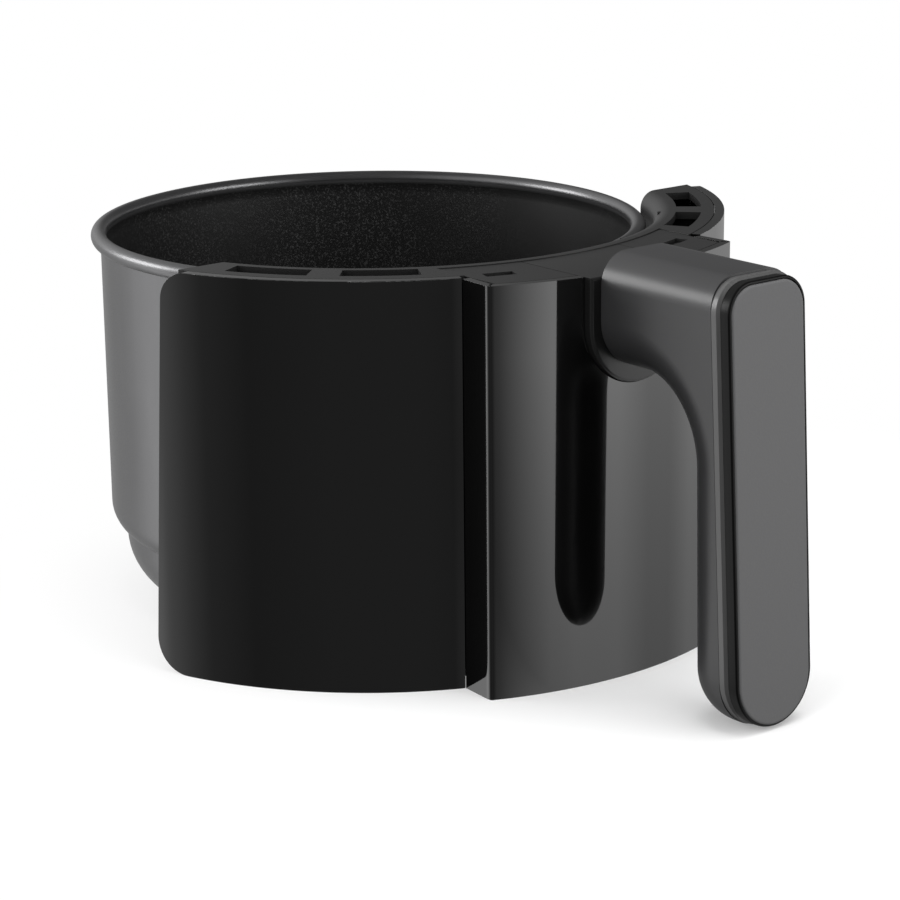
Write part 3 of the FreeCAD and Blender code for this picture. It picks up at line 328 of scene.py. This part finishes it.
class OBJECT_OT_drawer_wings(bpy.types.Operator):
    """Curved gloss covers, one each side of the column"""
    bl_idname = "drawer.wings"
    bl_label = "Wing covers"

    def execute(self, context):
        s = in_millimetres(context.scene.drawer_sizes)
        finish = gloss_plastic("gloss_black", context.scene.drawer_colours.gloss)
        for side, name in ((1, "right"), (-1, "left")):
            wing = piece_from_sheets(f"{name}_wing", [wing_sheet(s, side)], turn_out=False)
            add_wall(wing, s.cover_wall, 0.5)
            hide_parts(f"{name}_wing_cover")
            paint(wing, finish)
        return {"FINISHED"}


def rolled_corner(before, corner, after, rounding, count):
    """A corner that turns slowly at first and then fast, so that its first part catches the
    light: the heading turns by the whole angle times t cubed, and the line is fitted so that it
    leaves the first side and lands on the second."""
    into = (corner - before) / np.linalg.norm(corner - before)
    out = (after - corner) / np.linalg.norm(after - corner)
    whole = math.atan2(into[0] * out[1] - into[1] * out[0], np.dot(into, out))
    share = np.linspace(0, 1, count)
    turn = whole * share ** 3
    across = np.array([-into[1], into[0]])
    step = np.cos(turn)[:, None] * into + np.sin(turn)[:, None] * across
    line = np.concatenate([[[0.0, 0.0]], np.cumsum((step[:-1] + step[1:]) / 2, axis=0)]) * rounding / (count - 1)
    beyond = np.dot(line[-1], across) / np.dot(out, across)
    reach = np.dot(line[-1], into) - beyond * np.dot(out, into)
    return corner - into * reach + line


def column_plan(s, x_values):
    """Places on the column's front arc."""
    return np.stack([x_values, -s.column_centre - np.sqrt(s.column_radius ** 2 - x_values ** 2)], axis=-1)


def column_sheets(s):
    """The cover's plan carried upwards. Beside the notch it rises to the top, and below the
    notch to the half circle that the collar sits in."""
    notch = s.collar_half + 0.3
    corner = column_plan(s, np.array([s.column_half]))[0]
    back = np.array([s.joint_x - 0.2, -s.column_back])
    following = column_plan(s, np.array([s.column_half - 2]))[0]
    bend = rolled_corner(back, corner, following, s.column_rounding, 15)
    front = column_plan(s, np.linspace(bend[-1][0], notch, 30))
    right = np.concatenate([straight(back, bend[0], 8)[:-1], bend, front[1:]])
    levels = np.concatenate([np.linspace(0, s.collar_axis, 30), np.linspace(s.collar_axis, s.column_height, 8)[1:]])

    def carried(plan, heights):
        x = np.broadcast_to(plan[:, 0], heights.shape)
        y = np.broadcast_to(plan[:, 1], heights.shape)
        return np.stack([x, y, heights], axis=-1)

    side = carried(right, levels[:, None] + 0 * right[:, 0])
    across = notch * np.cos(np.linspace(0, np.pi, 61))
    top = s.collar_axis - np.sqrt(np.maximum(notch ** 2 - across ** 2, 0))
    middle = carried(column_plan(s, across), np.linspace(0, 1, 30)[:, None] * top)
    other = side[:, ::-1] * np.array([-1, 1, 1])
    return [side[:, ::-1], middle[:, ::-1], other[:, ::-1]]


class OBJECT_OT_drawer_column(bpy.types.Operator):
    """Gloss column cover with the notch for the collar, and its two top caps"""
    bl_idname = "drawer.column"
    bl_label = "Column"

    def execute(self, context):
        s = in_millimetres(context.scene.drawer_sizes)
        colours = context.scene.drawer_colours
        cover = piece_from_sheets("column_shell", column_sheets(s), turn_out=False)
        add_wall(cover, s.column_wall, 0.35)
        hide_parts("column_cover")
        paint(cover, gloss_plastic("gloss_column", colours.gloss))
        for name in ("right", "left"):
            cap = smooth_copy(f"{name}_column_cap", f"{name}_cap")
            paint(cap, moulded_plastic("frame_plastic", colours.frame, 0.42, 0.02))
        return {"FINISHED"}


class OBJECT_OT_drawer_frame(bpy.types.Operator):
    """Moulding inside the front, with its rounded lip, slotted deck and hooks"""
    bl_idname = "drawer.frame"
    bl_label = "Front frame"

    def execute(self, context):
        moulding = smooth_copy("front_frame", "frame_moulding")
        paint(moulding, moulded_plastic("frame_plastic", context.scene.drawer_colours.frame, 0.42, 0.02))
        return {"FINISHED"}


class OBJECT_OT_drawer_collar(bpy.types.Operator):
    """Round-bottomed sleeve between column and neck"""
    bl_idname = "drawer.collar"
    bl_label = "Collar"

    def execute(self, context):
        collar = smooth_copy("handle_collar", "collar")
        paint(collar, moulded_plastic("collar_plastic", context.scene.drawer_colours.collar, 0.30, 0.01))
        return {"FINISHED"}


# ---- handle -------------------------------------------------------------------------

def back_at(s, height):
    return -(s.grip_back_foot - math.tan(s.back_lean) * height)


def face_at(s, height, depth):
    return -(s.front_foot - math.tan(s.front_lean) * height) + depth


def grip_underside(s, depth):
    """The grip's side outline from the face's foot, round the foot, up the back, round the bend
    and along the neck, as places (y, z) with their inward directions, one row for each inset
    that the rounding passes through."""
    foot_radius = s.back_rounding + 1.0
    foot_z = s.grip_foot + foot_radius
    foot_y = back_at(s, foot_z) - foot_radius / math.cos(s.back_lean)
    bend_z = s.neck_bottom - s.bend_radius
    bend_y = back_at(s, bend_z) + s.bend_radius / math.cos(s.back_lean)
    lean = math.degrees(s.back_lean)
    foot_arc = arc((foot_y, foot_z), foot_radius, -90, -lean, 16)
    bend_arc = arc((bend_y, bend_z), s.bend_radius, 180 - lean, 90, 20)
    first = straight((face_at(s, s.grip_foot, depth), s.grip_foot), foot_arc[0], 5)
    rise = straight(foot_arc[-1], bend_arc[0], 16)
    neck = straight(bend_arc[-1], (-s.neck_root, s.neck_bottom), 8)
    path = np.concatenate([first[:-1], foot_arc, rise[1:-1], bend_arc, neck[1:]])
    up = np.array([[0.0, 1.0]])
    inward_foot = (np.array([foot_y, foot_z]) - foot_arc) / foot_radius
    inward_rise = np.array([[-math.cos(s.back_lean), math.sin(s.back_lean)]])
    inward_bend = (bend_arc - np.array([bend_y, bend_z])) / s.bend_radius
    inward = np.concatenate([np.repeat(up, len(first) - 1, axis=0), inward_foot,
                             np.repeat(inward_rise, len(rise) - 2, axis=0), inward_bend,
                             np.repeat(up, len(neck) - 1, axis=0)])
    marks = (len(first) - 1, len(first) - 1 + 16, len(path) - len(neck) + 1 - 20)
    return path, inward, marks


def grip_sheets(s):
    """Half sections across the grip, mirrored. A half section starts under the middle, turns
    up the rounded edge, runs along the flat side and ends across the face or over the rounded
    top. The outline's inset at a point of the rounding is R - R cos t while x is half - R + R sin t."""
    depth = s.shell_depth
    path, inward, (foot_start, foot_end, bend_start) = grip_underside(s, depth)
    count = len(path)
    corner = bend_start + 10
    turn = np.radians(np.concatenate([[0.0], np.linspace(0, 90, 16)]))
    inset = s.back_rounding * (1 - np.cos(turn))
    across = s.grip_half - s.back_rounding * (1 - np.sin(turn))
    across[0] = 0.0
    under = path[:, None, :] + inward[:, None, :] * inset[None, :, None]
    share = np.linspace(0, 1, foot_start + 1)[:, None]
    from_face = face_at(s, s.grip_foot + inset, depth)
    under[:foot_start + 1, :, 0] = from_face * (1 - share) + under[foot_start, :, 0] * share
    under_x = np.broadcast_to(across, under.shape[:2])

    top_side = s.neck_top - s.top_rounding
    step = np.arange(count)
    high = np.interp(step, [0, foot_end, bend_start, corner, count],
                     [s.grip_foot + s.back_rounding, s.grip_foot + 26, s.neck_bottom - s.bend_radius, top_side,
                      top_side])
    along = np.where(step <= corner, face_at(s, high, depth),
                     np.interp(step, [corner, count - 1], [face_at(s, top_side, depth), -s.neck_root]))
    outer = np.stack([along, high], axis=-1)
    mix = ((1 - np.cos(np.linspace(0, np.pi, 12))) / 2)[None, 1:-1, None]
    side = under[:, -1][:, None, :] * (1 - mix) + outer[:, None, :] * mix
    side_x = np.full(side.shape[:2], s.grip_half)

    turn = np.radians(np.concatenate([np.linspace(0, 90, 12), [90.0]]))
    over_x = s.grip_half - s.top_rounding * (1 - np.cos(turn))
    over_x[-1] = 0.0
    over_z = top_side + s.top_rounding * np.sin(turn)
    lean = face_at(s, over_z, depth) - face_at(s, top_side, depth)
    to_root = np.clip((step - corner) / (count - 1 - corner), 0, 1)[:, None]
    over = np.stack([along[:, None] + lean * (1 - to_root), np.broadcast_to(over_z, (count, len(turn)))], axis=-1)
    front_x = np.broadcast_to(np.linspace(s.grip_half, 0, len(turn)), (count, len(turn)))
    front = np.stack([np.broadcast_to(along[:, None], front_x.shape), np.broadcast_to(high[:, None], front_x.shape)],
                     axis=-1)

    def half(rows, end, end_x):
        yz = np.concatenate([under[rows], side[rows], end[rows]], axis=1)
        x = np.concatenate([under_x[rows], side_x[rows], np.broadcast_to(end_x, end.shape[:2])[rows]], axis=1)
        points = np.concatenate([x[..., None], yz], axis=-1)
        return np.concatenate([points[:, ::-1] * np.array([-1, 1, 1]), points], axis=1)

    lower = half(slice(0, corner + 1), front, front_x)
    upper = half(slice(corner, count), over, over_x)
    shell = np.concatenate([lower, upper])
    return [shell, close_end(shell[0]), close_end(shell[-1])]


def face_outline(half, foot, top, rounding):
    """A bar's outline along the face: a half circle at the foot and two rounded top corners."""
    return np.concatenate([
        arc((0, foot + half), half, 180, 360, 48),
        straight((half, foot + half), (half, top - rounding), 24)[1:-1],
        arc((half - rounding, top - rounding), rounding, 0, 90, 16),
        arc((rounding - half, top - rounding), rounding, 90, 180, 16),
        straight((-half, top - rounding), (-half, foot + half), 24)[1:],
    ])


def face_layer(s, half, foot, top, rounding, section):
    """The outline carried through a section of (inset, depth) steps and laid on the leaning
    face: y = depth cos + along sin - foot, z = along cos - depth sin."""
    lean = s.front_lean
    rows = []
    for inset, depth in section:
        outline = face_outline(half - inset, foot + inset, top - inset, max(rounding - inset, 0.2))
        along = outline[:, 1]
        rows.append(np.stack([outline[:, 0], depth * math.cos(lean) + along * math.sin(lean) - s.front_foot,
                              along * math.cos(lean) - depth * math.sin(lean)], axis=-1))
    return np.stack(rows)


def rounded_edge(inset, depth, radius, count=7):
    """Section steps round an edge, from the side wall at (inset, depth + radius) to the front."""
    turn = np.radians(np.linspace(0, 90, count))
    return [(inset + radius * (1 - math.cos(t)), depth + radius * (1 - math.sin(t))) for t in turn]


class OBJECT_OT_drawer_grip(bpy.types.Operator):
    """Neck and grip shell, bent from one bar"""
    bl_idname = "drawer.grip"
    bl_label = "Grip"

    def execute(self, context):
        s = in_millimetres(context.scene.drawer_sizes)
        grip = piece_from_sheets("grip_shell", grip_sheets(s), sharp=40.0)
        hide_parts("handle_body")
        paint(grip, moulded_plastic("grip_plastic", context.scene.drawer_colours.grip, 0.34, 0.015))
        return {"FINISHED"}


class OBJECT_OT_drawer_ring(bpy.types.Operator):
    """Satin trim ring with its bevel"""
    bl_idname = "drawer.ring"
    bl_label = "Trim ring"

    def execute(self, context):
        s = in_millimetres(context.scene.drawer_sizes)
        near = s.ring_depth + 0.05
        section = [(0, s.shell_depth - 0.05), (0, near + 0.9), (0.9, near), (4.5, near), (4.5, s.shell_depth - 0.05),
                   (0, s.shell_depth - 0.05)]
        ring = piece_from_sheets("trim_band", [face_layer(s, s.grip_half, s.grip_foot + 0.6, s.neck_top - 0.1,
                                                          s.top_rounding, section)], sharp=25.0)
        soften(ring, 0.15)
        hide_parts("trim_ring")
        paint(ring, satin_trim(context.scene.drawer_colours))
        return {"FINISHED"}


class OBJECT_OT_drawer_bezel(bpy.types.Operator):
    """Gloss bezel that holds the pad"""
    bl_idname = "drawer.bezel"
    bl_label = "Bezel"

    def execute(self, context):
        s = in_millimetres(context.scene.drawer_sizes)
        tray = s.grip_half - 0.9 - s.pad_half - 0.1
        section = ([(0, s.ring_depth)] + rounded_edge(0, s.bezel_depth, 0.7)
                   + [(tray - 0.1, s.bezel_depth), (tray, s.bezel_depth + 0.1), (tray, s.bezel_depth + 1.8)])
        band = face_layer(s, s.grip_half - 0.9, s.grip_foot + 0.8, s.neck_top - 0.9, s.top_rounding - 0.5, section)
        bezel = piece_from_sheets("bezel", [band, close_end(band[0]), close_end(band[-1])])
        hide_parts("handle_bezel")
        paint(bezel, moulded_plastic("bezel_black", context.scene.drawer_colours.bezel, 0.30, 0.002, specular=0.12))
        return {"FINISHED"}


class OBJECT_OT_drawer_pad(bpy.types.Operator):
    """Matt front pad"""
    bl_idname = "drawer.pad"
    bl_label = "Pad"

    def execute(self, context):
        s = in_millimetres(context.scene.drawer_sizes)
        section = [(0, 2.1)] + rounded_edge(0, 0, 0.8) + [(1.1, 0), (4.0, 0)]
        band = face_layer(s, s.pad_half, s.pad_foot, s.pad_top, s.top_rounding - 1.3, section)
        pad = piece_from_sheets("pad", [band, close_end(band[0]), close_end(band[-1])])
        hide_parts("handle_pad")
        paint(pad, moulded_plastic("pad_plastic", context.scene.drawer_colours.pad, 0.55, 0.03))
        return {"FINISHED"}


class OBJECT_OT_drawer_steel(bpy.types.Operator):
    """Steel bracket, plate and screws"""
    bl_idname = "drawer.steel"
    bl_label = "Steel parts"

    def execute(self, context):
        colours = context.scene.drawer_colours
        sheet = brushed_steel("bare_steel", colours.steel, 0.36)
        zinc = brushed_steel("screw_steel", colours.steel, 0.28)
        for node in ("pan_bracket", "handle_plate"):
            paint(frame["nodes"][node], sheet)
        for node in ("frame_screws", "wing_screws", "column_screws", "handle_screws", "grip_screws"):
            paint(frame["nodes"][node], zinc)
        return {"FINISHED"}


# ---- finishes -----------------------------------------------------------------------

class Level:
    """A value in a material's nodes. Arithmetic on it adds Math nodes."""

    def __init__(self, finish, socket):
        self.finish = finish
        self.socket = socket

    def math(self, operation, first, second):
        return self.finish.node("ShaderNodeMath", {"operation": operation}, {0: first, 1: second})

    def __add__(self, other):
        return self.math("ADD", self, other)

    def __sub__(self, other):
        return self.math("SUBTRACT", self, other)

    def __rsub__(self, other):
        return self.math("SUBTRACT", other, self)

    def __mul__(self, other):
        return self.math("MULTIPLY", self, other)

    def __truediv__(self, other):
        return self.math("DIVIDE", self, other)

    def __pow__(self, other):
        return self.math("POWER", self, other)

    __radd__ = __add__
    __rmul__ = __mul__


class Nodes:
    """The nodes of one material or world being made."""

    def __init__(self, owner):
        owner.use_nodes = True
        self.nodes = owner.node_tree.nodes
        self.links = owner.node_tree.links

    def node(self, kind, settings, inputs, output=0):
        """A node with its settings made first, then its sockets set or linked."""
        made = self.nodes.new(kind)
        for name, value in settings.items():
            if name == "stops":
                made.color_ramp.interpolation = "LINEAR"
                for index, (position, tone) in enumerate(value):
                    stop = made.color_ramp.elements[index] if index < 2 else made.color_ramp.elements.new(position)
                    stop.position = position
                    stop.color = (tone, tone, tone, 1)
            else:
                setattr(made, name, value)
        for name, value in inputs.items():
            self.feed(made.inputs[name], value)
        return Level(self, made.outputs[output])

    def feed(self, socket, value):
        if isinstance(value, Level):
            self.links.new(value.socket, socket)
        else:
            socket.default_value = value

    def sides(self, vector):
        """The three parts of a vector."""
        return [self.node("ShaderNodeSeparateXYZ", {}, {0: vector}, output=axis) for axis in range(3)]

    def above(self, value):
        """The value, or 0 where it is below 0."""
        return self.larger(value, 0.0)

    def larger(self, first, second):
        return self.node("ShaderNodeMath", {"operation": "MAXIMUM"}, {0: first, 1: second})

    def ramp(self, value, low, high):
        """0 below low, 1 above high, straight between."""
        return self.node("ShaderNodeMapRange", {}, {"Value": value, "From Min": low, "From Max": high})


class Finish(Nodes):
    """One material being made."""

    def __init__(self, name):
        self.material = bpy.data.materials.new(name)
        super().__init__(self.material)
        self.shader = self.nodes["Principled BSDF"]

    def place(self, stretch=(1, 1, 1)):
        """Object coordinates, stretched along the axes."""
        where = self.node("ShaderNodeTexCoord", {}, {}, output="Object")
        return self.node("ShaderNodeMapping", {}, {"Vector": where, "Scale": stretch})

    def noise(self, scale, detail=2.0, stretch=(1, 1, 1)):
        """Smooth noise from 0 to 1, with scale features to the metre."""
        return self.node("ShaderNodeTexNoise", {}, {"Vector": self.place(stretch), "Scale": scale, "Detail": detail})

    def tones(self, share, dark, light):
        """From one colour to the other."""
        return self.node("ShaderNodeMix", {"data_type": "RGBA"}, {0: share, 6: (*dark, 1), 7: (*light, 1)}, output=2)

    def bump(self, height, depth, under=None):
        """Raised by height times depth in metres."""
        inputs = {"Height": height, "Strength": 1.0, "Distance": depth}
        if under is not None:
            inputs["Normal"] = under
        return self.node("ShaderNodeBump", {}, inputs)

    def set(self, **values):
        """Sets or links the shader's own sockets."""
        for name, value in values.items():
            self.feed(self.shader.inputs[name.replace("_", " ").title()
                                         .replace("Ior", "IOR")], value)
        return self.material


def scaled(tone, factor):
    return tuple(min(1.0, channel * factor) for channel in tone)


def paint(piece, material):
    """Puts one material on every slot of a piece."""
    if not piece.material_slots:
        piece.data.materials.append(material)
    for slot in piece.material_slots:
        slot.material = material


def inside_the_pan(finish, s):
    """1 on the pan's inner side, 0 on its outer side: nearer the axis than the middle of the
    sheet, beside the base's corner as well as up the wall, and fading out below the rim."""
    x, y, z = finish.sides(finish.place())
    reach = (x * x + y * y) ** 0.5
    middle = s.pan_wall / 2 * MM
    hair = 0.0001
    wall = (1 - finish.ramp(reach, s.pan_radius * MM - middle - hair, s.pan_radius * MM - middle + hair)) * \
        finish.ramp(z, s.shoulder_height * MM, (s.shoulder_height + 1) * MM)
    corner = s.base_corner * MM
    out = finish.above(reach - (s.lower_radius * MM - corner))
    down = finish.above(corner - z)
    base = 1 - finish.ramp((out * out + down * down) ** 0.5, corner - middle - hair, corner - middle + hair)
    rim = 1 - finish.ramp(z, (s.bead_height - 2) * MM, s.bead_height * MM)
    return finish.larger(wall, base) * rim


def pan_coating(colours, s):
    """Satin grey outside with fine speckle, cloudy sheen and faint rubbed streaks. Non-stick
    black inside with coarser grains that catch the light."""
    finish = Finish("pan_coating")
    inside = inside_the_pan(finish, s)
    speckle = finish.noise(2600, 1.0)
    cloud = finish.noise(14, 3.0)
    streak = finish.noise(90, 2.0, stretch=(1, 1, 0.12))
    shade = finish.ramp(cloud * 0.6 + streak * 0.4, 0.3, 0.7)
    grains = finish.ramp(finish.noise(1300, 2.0), 0.52, 0.72) * finish.ramp(cloud, 0.35, 0.6)
    outer = finish.tones(shade, scaled(colours.pan, 0.9), scaled(colours.pan, 1.12))
    inner = finish.tones(grains, scaled(colours.pan_inside, 0.8), scaled(colours.pan_inside, 5.0))
    return finish.set(
        base_color=finish.node("ShaderNodeMix", {"data_type": "RGBA"}, {0: inside, 6: outer, 7: inner}, output=2),
        roughness=0.26 + 0.08 * cloud + 0.08 * finish.ramp(speckle, 0.4, 0.6) + 0.12 * inside,
        metallic=0.95 - 0.95 * inside,
        normal=finish.bump(speckle + 1.5 * grains * inside, 0.00002))


def plate_coating(colours):
    """Darker coating of the plate, with light rubbing in patches spread by noise."""
    finish = Finish("plate_coating")
    tone = tuple(colours.crisper)
    rubbed = finish.ramp(finish.noise(35, 4.0), 0.45, 0.7)
    speckle = finish.noise(2200, 1.0)
    return finish.set(
        base_color=finish.tones(rubbed, scaled(tone, 0.8), scaled(tone, 1.3)),
        roughness=0.36 + 0.12 * rubbed,
        normal=finish.bump(speckle, 0.000015))


def silicone(colours):
    finish = Finish("silicone")
    tone = tuple(colours.silicone)
    dust = finish.ramp(finish.noise(160, 3.0), 0.4, 0.7)
    return finish.set(base_color=finish.tones(dust, tone, scaled(tone, 1.8)), roughness=0.62 + 0.1 * dust)


def gloss_plastic(name, tone):
    """Polished moulding: a slow waviness in the mould and a few faint wiping marks."""
    finish = Finish(name)
    wave = finish.noise(22, 1.0)
    wiping = finish.ramp(finish.noise(60, 4.0, stretch=(1, 1, 0.25)), 0.5, 0.8)
    return finish.set(
        base_color=finish.tones(wave, scaled(tone, 0.9), scaled(tone, 1.1)), specular_ior_level=1.0,
        roughness=0.025 + 0.03 * wiping,
        normal=finish.bump(wave, 0.00002))


def moulded_plastic(name, tone, roughness, grain, specular=0.5):
    """Spark-eroded mould grain: fine bumps, with roughness and shade that follow them."""
    finish = Finish(name)
    fine = finish.noise(1500, 2.0)
    broad = finish.noise(25, 3.0)
    return finish.set(
        base_color=finish.tones(0.5 * fine + 0.5 * broad, scaled(tone, 0.88), scaled(tone, 1.12)),
        roughness=roughness - 0.05 + 0.1 * broad, specular_ior_level=specular,
        normal=finish.bump(fine, grain * MM))


def satin_trim(colours):
    """Satin metallised ring with fine lines along its length."""
    finish = Finish("satin_trim")
    tone = tuple(colours.trim)
    lines = finish.noise(900, 2.0, stretch=(1, 1, 0.05))
    return finish.set(
        base_color=finish.tones(lines, scaled(tone, 0.85), scaled(tone, 1.2)),
        roughness=0.26 + 0.08 * lines, metallic=0.0,
        normal=finish.bump(lines, 0.000008))


def brushed_steel(name, tone, roughness):
    finish = Finish(name)
    lines = finish.noise(700, 3.0, stretch=(0.06, 1, 1))
    spots = finish.ramp(finish.noise(70, 3.0), 0.35, 0.7)
    return finish.set(
        base_color=finish.tones(spots, scaled(tone, 0.85), scaled(tone, 1.1)),
        roughness=roughness + 0.12 * lines, metallic=1.0,
        normal=finish.bump(lines, 0.00001))


# ---- studio -------------------------------------------------------------------------

MATT_ABOVE = 0.75
MATT_BELOW = 0.06
HIGH_GLOSS = 0.12
BACK_GLOSS = 0.80
FLOOR_LIFT = 0.10
CAMERA_PLACE = (-593.70, -787.61, 329.00)
CAMERA_AIM = (30.13, -8.23, 43.35)
CAMERA_ROLL = -0.584
CAMERA_LENS = 109.88


def studio_camera():
    """A long lens that looks down on the drawer from the handle's left."""
    camera = bpy.data.objects.new("camera", bpy.data.cameras.new("camera"))
    bpy.context.scene.collection.objects.link(camera)
    camera.data.lens = CAMERA_LENS
    camera.data.sensor_width = 36
    camera.data.clip_start, camera.data.clip_end = 0.05, 50
    place_ = Vector(CAMERA_PLACE) * MM
    ahead = (Vector(CAMERA_AIM) * MM - place_).normalized()
    level = ahead.cross(Vector((0, 0, 1))).normalized()
    roll = math.radians(CAMERA_ROLL)
    right = level * math.cos(roll) + level.cross(ahead) * math.sin(roll)
    up = right.cross(ahead)
    camera.matrix_world = Matrix.Translation(place_) @ Matrix((right, up, -ahead)).transposed().to_4x4()
    bpy.context.scene.camera = camera


def soft_lamp(name, place_, aim, width, height, power):
    """A rectangular soft box that points at a place."""
    lamp = bpy.data.objects.new(name, bpy.data.lights.new(name, "AREA"))
    bpy.context.scene.collection.objects.link(lamp)
    lamp.data.shape = "RECTANGLE"
    lamp.data.size, lamp.data.size_y = width, height
    lamp.data.energy = power
    lamp.location = place_
    lamp.rotation_euler = (Vector(aim) - Vector(place_)).to_track_quat("-Z", "Y").to_euler()
    lamp.visible_camera = False
    return lamp


ROOM_TONES = (
    (-180, 0.45), (-165, 0.60), (-152, 1.00), (-143, 1.70), (-122, 1.40), (-112, 0.55), (-103, 0.30), (-96, 0.17),
    (-80, 0.10), (-54, 0.125), (-24, 0.13), (-14, 0.12), (-6, 0.35), (3, 1.05), (11, 1.66), (20, 1.90), (36, 1.85),
    (48, 1.30), (58, 1.20), (68, 1.50), (110, 0.60), (140, 0.20), (160, 0.50), (180, 0.45))


def world_light():
    """White to the camera, and brighter from above than from below to matt surfaces. Gloss
    shows a studio whose light changes with the direction round the drawer: bright panels behind
    on the left and before the handle, dark cloth before the left wing, and a dark ceiling."""
    world = bpy.data.worlds.new("studio")
    bpy.context.scene.world = world
    room = Nodes(world)
    x, y, z = room.sides(room.node("ShaderNodeTexCoord", {}, {}, output="Generated"))
    around = room.node("ShaderNodeMath", {"operation": "ARCTAN2"}, {0: x, 1: 0 - y}) / (2 * math.pi) + 0.5
    stops = [((degrees + 180) / 360, tone) for degrees, tone in ROOM_TONES]
    walls = room.node("ShaderNodeValToRGB", {"stops": stops}, {0: around})
    high = room.ramp(z, 0.0, 0.2)
    above = HIGH_GLOSS + BACK_GLOSS * room.ramp(y - x, 0.05, 0.9) * (1 - room.ramp(z, 0.7, 0.95))
    gloss = walls * (1 - high) + above * high
    matt = MATT_BELOW + (MATT_ABOVE - MATT_BELOW) * room.ramp(z, -0.3, 0.6)
    seen, mirrored = (room.node("ShaderNodeLightPath", {}, {}, output=kind)
                      for kind in ("Is Camera Ray", "Is Glossy Ray"))
    strength = seen + (1 - seen) * (matt * (1 - mirrored) + gloss * mirrored)
    background = room.nodes["Background"]
    background.inputs["Color"].default_value = (1, 1, 1, 1)
    room.feed(background.inputs["Strength"], strength)


def flat_disc(name, radius, height, count=96):
    """A level disc in rings about the vertical axis."""
    rings = np.array([[0.0, height], [0.35 * radius, height], [radius, height]])
    grid = turned(rings / MM, count)[::-1]
    mesh = bpy.data.meshes.new(name)
    mesh.from_pydata((grid.reshape(-1, 3) * MM).tolist(), [], sheet_faces(3, count + 1, 0).tolist())
    tidy_mesh(mesh, False, 30.0)
    disc = bpy.data.objects.new(name, mesh)
    bpy.context.scene.collection.objects.link(disc)
    return disc


def floor_paint():
    """Pale floor that keeps the drawer's shadow near it and is plain white further off. Gloss
    looks through it to the studio, with a painted shadow for gloss: darker close to the drawer, on one side only."""
    finish = Finish("studio_floor")
    x, y, z = finish.sides(finish.place())
    reach = (x * x + y * y) ** 0.5
    seen, mirrored = (finish.node("ShaderNodeLightPath", {}, {}, output=kind)
                      for kind in ("Is Camera Ray", "Is Glossy Ray"))
    white = finish.node("ShaderNodeEmission", {}, {"Strength": seen}, output=0)
    from_handle = ((x - 0.03) * (x - 0.03) + (y + 0.15) * (y + 0.15)) ** 0.5
    lift = FLOOR_LIFT + (1 - FLOOR_LIFT) * finish.ramp(from_handle, 0.03, 0.30)
    pale = finish.node("ShaderNodeMixShader", {}, {0: lift * seen, 1: Level(finish, finish.shader.outputs[0]),
                                                   2: white})
    clear = finish.node("ShaderNodeBsdfTransparent", {}, {})
    dark = finish.node("ShaderNodeEmission", {}, {"Strength": 0.0}, output=0)
    # painted shadow: a black share, seen only in reflections, darkens the floor close to the drawer on one side
    painted_shadow = 0.48 * (1 - finish.ramp(reach, 0.12, 0.60)) * finish.ramp(x - 0.3 * y, -0.015, 0.010)
    mirror = finish.node("ShaderNodeMixShader", {}, {0: painted_shadow, 1: clear, 2: dark})
    both = finish.node("ShaderNodeMixShader", {}, {0: mirrored, 1: pale, 2: mirror})
    finish.feed(finish.nodes["Material Output"].inputs["Surface"], both)
    return finish.set(base_color=(0.95, 0.95, 0.95, 1), roughness=0.9, specular_ior_level=0.0)


class OBJECT_OT_drawer_stage(bpy.types.Operator):
    """Floor, lamps, world and camera"""
    bl_idname = "drawer.stage"
    bl_label = "Studio"

    def execute(self, context):
        studio_camera()
        world_light()
        floor = flat_disc("studio_floor", 6.0, 0.0)
        paint(floor, floor_paint())
        floor.visible_diffuse = False
        overhead = soft_lamp("overhead", (0.1, -0.3, 1.3), (0, -0.05, 0.1), 0.9, 0.9, 9)
        left = soft_lamp("left", (-1.25, -0.35, 0.50), (0, -0.15, 0.08), 0.8, 0.8, 7)
        overhead.visible_glossy = left.visible_glossy = False
        soft_lamp("back_left", (-0.85, 0.95, 0.52), (0, -0.1, 0.1), 0.75, 0.55, 8)
        soft_lamp("front", (0.75, -1.35, 0.55), (0, -0.2, 0.08), 0.9, 0.7, 7)
        context.scene.view_settings.view_transform = "Standard"
        return {"FINISHED"}


# ---- panel and main -----------------------------------------------------------------

OPERATORS = (
    OBJECT_OT_drawer_pan, OBJECT_OT_drawer_crisper, OBJECT_OT_drawer_frame, OBJECT_OT_drawer_wings,
    OBJECT_OT_drawer_column, OBJECT_OT_drawer_collar, OBJECT_OT_drawer_grip, OBJECT_OT_drawer_ring,
    OBJECT_OT_drawer_bezel, OBJECT_OT_drawer_pad, OBJECT_OT_drawer_steel, OBJECT_OT_drawer_stage,
)


class VIEW3D_PT_drawer(bpy.types.Panel):
    """Lists the drawer's pieces"""
    bl_idname = "VIEW3D_PT_drawer"
    bl_label = "Air fryer drawer"
    bl_space_type = "VIEW_3D"
    bl_region_type = "UI"
    bl_category = "Drawer"

    def draw(self, context):
        for operator in OPERATORS:
            self.layout.operator(operator.bl_idname)
        for group in (context.scene.drawer_sizes, context.scene.drawer_colours):
            for name in group.bl_rna.properties.keys():
                if name not in ("rna_type", "name"):
                    self.layout.prop(group, name)


CLASSES = (DrawerSizes, DrawerColours, *OPERATORS, VIEW3D_PT_drawer)


def register():
    for item in CLASSES:
        bpy.utils.register_class(item)
    bpy.types.Scene.drawer_sizes = bpy.props.PointerProperty(type=DrawerSizes)
    bpy.types.Scene.drawer_colours = bpy.props.PointerProperty(type=DrawerColours)


def unregister():
    del bpy.types.Scene.drawer_colours
    del bpy.types.Scene.drawer_sizes
    for item in reversed(CLASSES):
        bpy.utils.unregister_class(item)


def main():
    register()
    for operator in OPERATORS:
        getattr(bpy.ops.drawer, operator.bl_idname.split(".")[1])()


if __name__ == "__main__":
    main()
